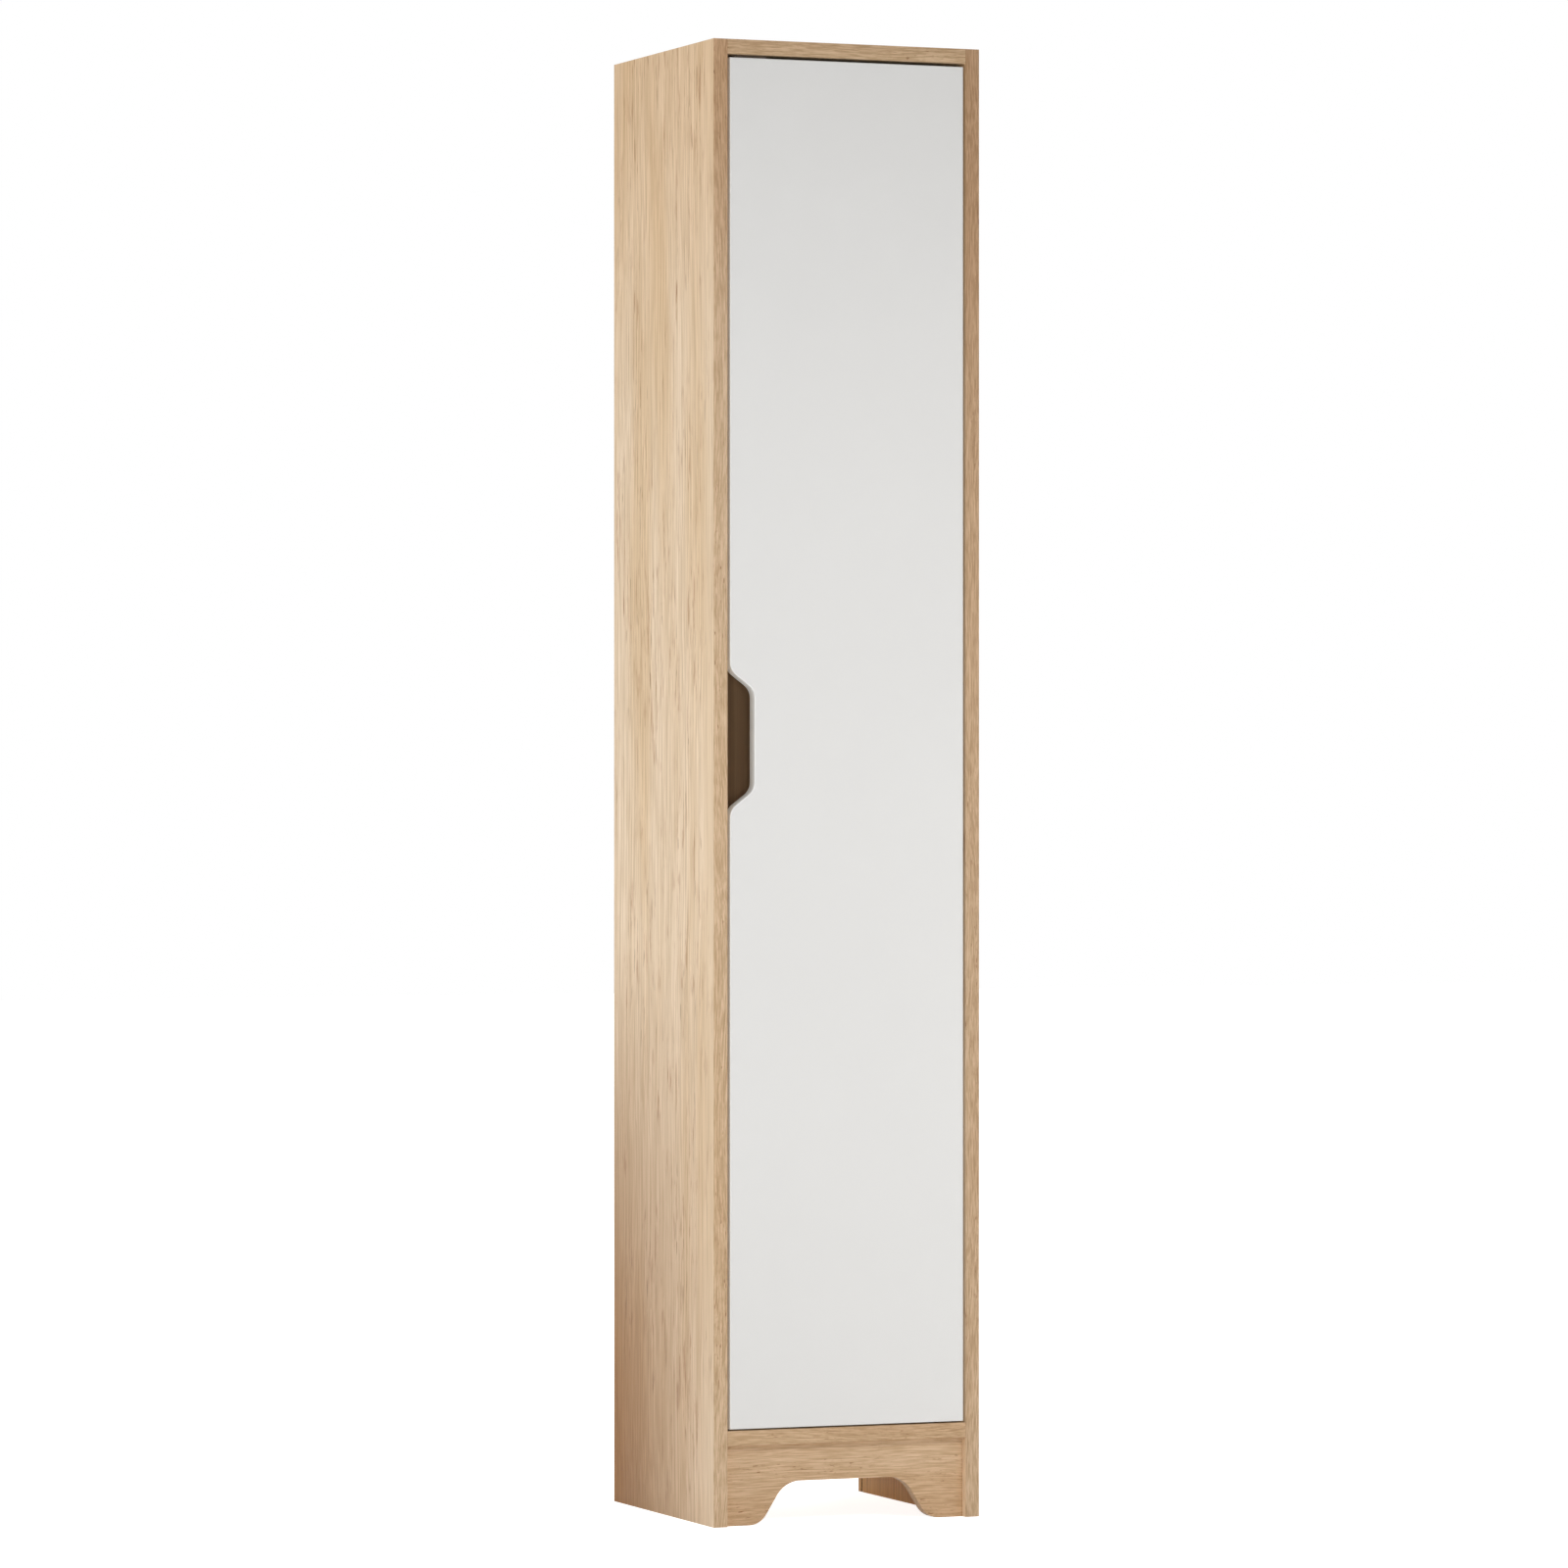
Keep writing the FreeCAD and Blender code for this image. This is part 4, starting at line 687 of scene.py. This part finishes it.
hingeCup = {
    "back": -154.0,                 # the door's rear face
    "radius": 17.4,
    "depth": 11.5,
    "wall": 1.0,
    "floor": 0.8,
    "footRadius": 1.5,
    "lipRadius": 0.8,
    "flange": 19.0,
    "flangeThickness": 1.2,
    "flangeRim": 0.6,
    "bevel": 0.3,
    "earRadius": 6.5,
    "earStart": (14.6, 17.4),       # where its two sides leave the flange, up from the cup's middle
    "cheekRadius": 3.0,
    "cheekMiddle": 10.0,
    "cheekThickness": 3.8,
    "cheekSunk": 0.4,
}
hingeArm = {
    "pivot": (138.3, -161.6),
    "eyeRadius": 2.8,
    "neckThickness": 6.9,
    "frontBend": 5.0,
    "innerBend": 5.0,
    "outerBend": 7.0,
    "endBend": 2.0,
    "halfWidth": 7.4,
    "footX": 154.0,
    "rearY": -66.0,
    "slopeY": (-146.0, -122.0),
    "rounding": 0.9,
    "opening": 100.0,               # degrees
    "pivotToEdge": 15.5,            # to the door's hinged edge
    "pivotToBack": 7.6,             # to the door's rear face
    "clearance": 1.2,
}
hingePlate = {
    "faceX": 155.0,
    "thickness": 2.0,
    "frontY": -126.0,
    "rearY": -72.0,
    "wingY": -117.0,
    "wingRadius": 8.0,
    "wingSpread": 16.0,
    "halfWidth": 7.4,
    "rounding": 0.5,
    "railHalfWidth": 5.6,
    "railTop": 145.4,
    "railRounding": 0.6,
}


def hingeCupSurfaces(z):
    # Dish: floor, rounded foot, wall, lip and flange turned round the cup's axis. Ears: plates that end in a
    # half round about each screw. Cheeks: two upright tongues with round ends, which hold the pin.
    cup = hingeCup
    inner, deep = cup["radius"] - cup["wall"], cup["depth"] - cup["floor"]
    foot, lip, rim, thick = cup["footRadius"], cup["lipRadius"], cup["flangeRim"], cup["flangeThickness"]
    profile = np.vstack([[(deep, 0.1)],
                         arc((deep - foot, inner - foot), foot, 0, 90, 6),
                         arc((lip - thick, inner + lip), lip, 270, 180, 6),
                         arc((rim - thick, cup["flange"] - rim), rim, 180, 90, 6),
                         [(0, cup["flange"]), (0, cup["radius"]), (cup["depth"] - cup["bevel"], cup["radius"]),
                          (cup["depth"], cup["radius"] - cup["bevel"]), (cup["depth"], 0.1)]])
    surfaces = [turnedSurface(profile, (hinges["cupX"], cup["back"], z), (0, -1, 0), 80)]
    earX, (pinX, pinY) = hinges["cupX"] - hinges["earOffset"], hingeArm["pivot"]
    radius, pin = cup["earRadius"], cup["cheekRadius"]
    sunk = cup["back"] - deep - cup["cheekSunk"]
    for side in (-1, 1):
        ear = np.vstack([[(earX - radius, z + side * cup["earStart"][0])],
                         arc((earX, z + side * hinges["earSpacing"] / 2), radius, 180, 180 - side * 180, 20),
                         [(earX + radius, z + side * cup["earStart"][1])]])
        # a hair thinner than the flange, so that their faces don't lie in one plane
        surfaces.append(plateSurface(ear, cup["back"], thick - 0.08, (0.0, 0.4), (0, 2, 1)))
        cheek = np.vstack([arc((pinX, pinY), pin, 0, 180, 16), [(pinX - pin, sunk), (pinX + pin, sunk)]])
        surfaces.append(plateSurface(cheek, z + side * cup["cheekMiddle"] - cup["cheekThickness"] / 2,
                                     cup["cheekThickness"], 0.5, (0, 1, 2)))
    return surfaces


def hingeArmSurfaces(z):
    # Seen from above: an eye round the pin, a neck that turns out of the cup, a slope towards the side and a
    # run over the rail. The door's edge and the cup's rim, turned about the pin by the opening angle, stay
    # right of the neck: x + dx * cos - dy * sin, less the clearance.
    arm = hingeArm
    x, y = arm["pivot"]
    eye, bend, half = arm["eyeRadius"], arm["frontBend"], arm["halfWidth"]
    sine, cosine = math.sin(math.radians(arm["opening"])), math.cos(math.radians(arm["opening"]))
    rim = hinges["cupX"] + hingeCup["radius"] - hingeCup["wall"] - x
    rimX = x + rim * cosine - (arm["pivotToBack"] + hingeCup["flangeThickness"]) * sine
    edgeX = x + arm["pivotToEdge"] * cosine - arm["pivotToBack"] * sine
    right = min(edgeX, rimX) - arm["clearance"]
    left = right - arm["neckThickness"]
    slopeStart, slopeEnd = arm["slopeY"]
    foot, top, rear = arm["footX"], hinges["armTop"], arm["rearY"]
    outline = np.vstack([
        arc((x, y), eye, -90, 90, 16),
        arc((right + eye, y + 2 * eye), eye, 270, 180, 8),
        roundedCorner((right, y + 3 * eye), (right, slopeStart), (foot, slopeEnd), arm["innerBend"]),
        roundedCorner((right, slopeStart), (foot, slopeEnd), (foot, rear), arm["innerBend"]),
        [(foot, rear)],
        roundedCorner((foot, rear), (top, rear), (top, slopeEnd), arm["endBend"]),
        roundedCorner((top, rear), (top, slopeEnd), (left, slopeStart), arm["outerBend"]),
        roundedCorner((top, slopeEnd), (left, slopeStart), (left, y), arm["outerBend"]),
        arc((left + bend, y - eye + bend), bend, 180, 270, 8)])
    return [plateSurface(outline, z - half, 2 * half, arm["rounding"], (0, 1, 2))]


def hingePlateSurfaces(z):
    # a base with a round wing above and below for its screws, and the rail that fills the arm
    plate = hingePlate
    wing, radius, spread, half = plate["wingY"], plate["wingRadius"], plate["wingSpread"], plate["halfWidth"]
    near, far = wing - radius, wing + radius
    front, rear, thin = plate["frontY"], plate["rearY"], plate["railHalfWidth"]
    base = np.vstack([[(rear, z - half), (rear, z + half), (far, z + half)],
                      arc((wing, z + spread), radius, 0, 180, 24),
                      [(near, z + half), (front, z + half), (front, z - half), (near, z - half)],
                      arc((wing, z - spread), radius, 180, 360, 24),
                      [(far, z - half)]])
    rail = [(front, z - thin), (rear, z - thin), (rear, z + thin), (front, z + thin)]
    return [plateSurface(base, plate["faceX"], plate["thickness"], (plate["rounding"], 0.0), (1, 2, 0)),
            plateSurface(rail, plate["railTop"], plate["faceX"] - plate["railTop"],
                         (plate["railRounding"], 0.0), (1, 2, 0))]


for place, z in hinges["heights"].items():
    for part, body, surfaces in (("cup", "door", hingeCupSurfaces(z)), ("arm", "carcass", hingeArmSurfaces(z)),
                                 ("plate", "carcass", hingePlateSurfaces(z))):
        makePiece(place + "-hinge-" + part + "-pressed", surfaces, body, "nickel", place + "_hinge_" + part)
print("hinges made")


strikePlate = {"x": (-144.0, -96.0), "z": (1762.8, 1776.8), "y": -154.0, "thickness": 1.2, "corner": 2.4,
               "rounding": 0.4}


def strikeSurface():
    # a pressed plate: a rectangle with round corners, its free rim rounded over
    (x0, x1), (z0, z1), r = strikePlate["x"], strikePlate["z"], strikePlate["corner"]
    outline = np.vstack([arc((x1 - r, z0 + r), r, 270, 360, 8), arc((x1 - r, z1 - r), r, 0, 90, 8),
                         arc((x0 + r, z1 - r), r, 90, 180, 8), arc((x0 + r, z0 + r), r, 180, 270, 8)])
    return plateSurface(outline, strikePlate["y"], strikePlate["thickness"], (0.0, strikePlate["rounding"]),
                        (0, 2, 1))


makePiece("strike-plate-pressed", [strikeSurface()], "door", "nickel", "strike_plate")
print("strike plate made")


studio = {
    "floorSize": 40.0,          # metres
    "floorColour": "#F4F4F3",
    "floorGlow": 0.86,
    "worldStrength": 0.43,
    "lamps": {                  # place and aim in metres, size in metres, power in watts
        "side": ((-3.5, -0.45, 1.45), (0.0, 0.0, 0.8), 1.3, 33.5),
        "front": ((0.5, -2.3, 1.84), (0.42, -1.95, 0.0), 0.6, 27.5),
        "fill": ((-2.45, -6.0, 0.86), (0.0, 0.0, 0.5), 0.35, 45.0),
        "rear": ((3.6, 3.8, 1.6), (0.0, 0.0, 0.9), 2.5, 95.0),
        "top": ((0.6, 0.6, 5.0), (0.0, 0.0, 1.0), 2.0, 36.0),
    },
}


def seenDirectly(tree):
    # 1 for the rays that show a background: from the camera, off gloss and through glass; 0 for the others
    path = addNode(tree, "ShaderNodeLightPath")
    seen = addNode(tree, "ShaderNodeMath", {0: path.outputs["Is Camera Ray"], 1: path.outputs["Is Glossy Ray"]},
                   operation="MAXIMUM")
    return addNode(tree, "ShaderNodeMath", {0: seen, 1: path.outputs["Is Transmission Ray"]},
                   operation="MAXIMUM")


def makeFloor():
    # painted floor: near white to the camera and in reflections, with the soft shadow kept
    half = studio["floorSize"] / 2
    corners = [(-half, -half, 0), (half, -half, 0), (half, half, 0), (-half, half, 0)]
    mesh = bpy.data.meshes.new("floor")
    mesh.from_pydata(corners, [], [(0, 1, 2, 3)])
    floor = bpy.data.objects.new("floor", mesh)
    bpy.context.scene.collection.objects.link(floor)
    material, tree = newMaterial("floorPaintedMatt")
    paint = addNode(tree, "ShaderNodeBsdfDiffuse", {"Color": linearColour(studio["floorColour"])})
    glow = addNode(tree, "ShaderNodeEmission", {"Color": (1, 1, 1, 1), "Strength": studio["floorGlow"]})
    both = addNode(tree, "ShaderNodeAddShader", {0: paint, 1: glow})
    shown = addNode(tree, "ShaderNodeMixShader", {0: seenDirectly(tree), 1: paint, 2: both})
    addNode(tree, "ShaderNodeOutputMaterial", {"Surface": shown})
    mesh.materials.append(material)


def makeLight():
    # an even world, white where it is seen, and soft square lamps that the camera doesn't see
    world = bpy.data.worlds.new("studioWorld")
    bpy.context.scene.world = world
    world.use_nodes = True
    tree = world.node_tree
    tree.nodes.clear()
    strength = addNode(tree, "ShaderNodeMapRange", {0: seenDirectly(tree), 1: 0.0, 2: 1.0,
                                                    3: studio["worldStrength"], 4: 1.0})
    sky = addNode(tree, "ShaderNodeBackground", {"Color": (1, 1, 1, 1), "Strength": strength})
    addNode(tree, "ShaderNodeOutputWorld", {"Surface": sky})
    for name, (place, aim, size, power) in studio["lamps"].items():
        light = bpy.data.lights.new(name + "Lamp", "AREA")
        light.size = size
        light.energy = power
        lamp = bpy.data.objects.new(name + "Lamp", light)
        lamp.location = place
        lamp.rotation_euler = (Vector(aim) - Vector(place)).to_track_quat("-Z", "Y").to_euler()
        lamp.visible_camera = False
        bpy.context.scene.collection.objects.link(lamp)


makeFloor()
makeLight()

# place in metres, turn about the upright in degrees; the camera is level
cameraSetup = {"lens": 160.26, "sensor": 36.0, "place": (-3.2757, -8.0125, 0.8988), "turn": -22.148}
cameraData = bpy.data.cameras.new("camera")
cameraData.sensor_fit = "HORIZONTAL"
cameraData.sensor_width = cameraSetup["sensor"]
cameraData.lens = cameraSetup["lens"]
camera = bpy.data.objects.new("camera", cameraData)
camera.location = cameraSetup["place"]
camera.rotation_euler = (math.radians(90), 0, math.radians(cameraSetup["turn"]))
bpy.context.scene.collection.objects.link(camera)
bpy.context.scene.camera = camera
bpy.context.scene.view_settings.view_transform = "Standard"
print("studio and camera set")
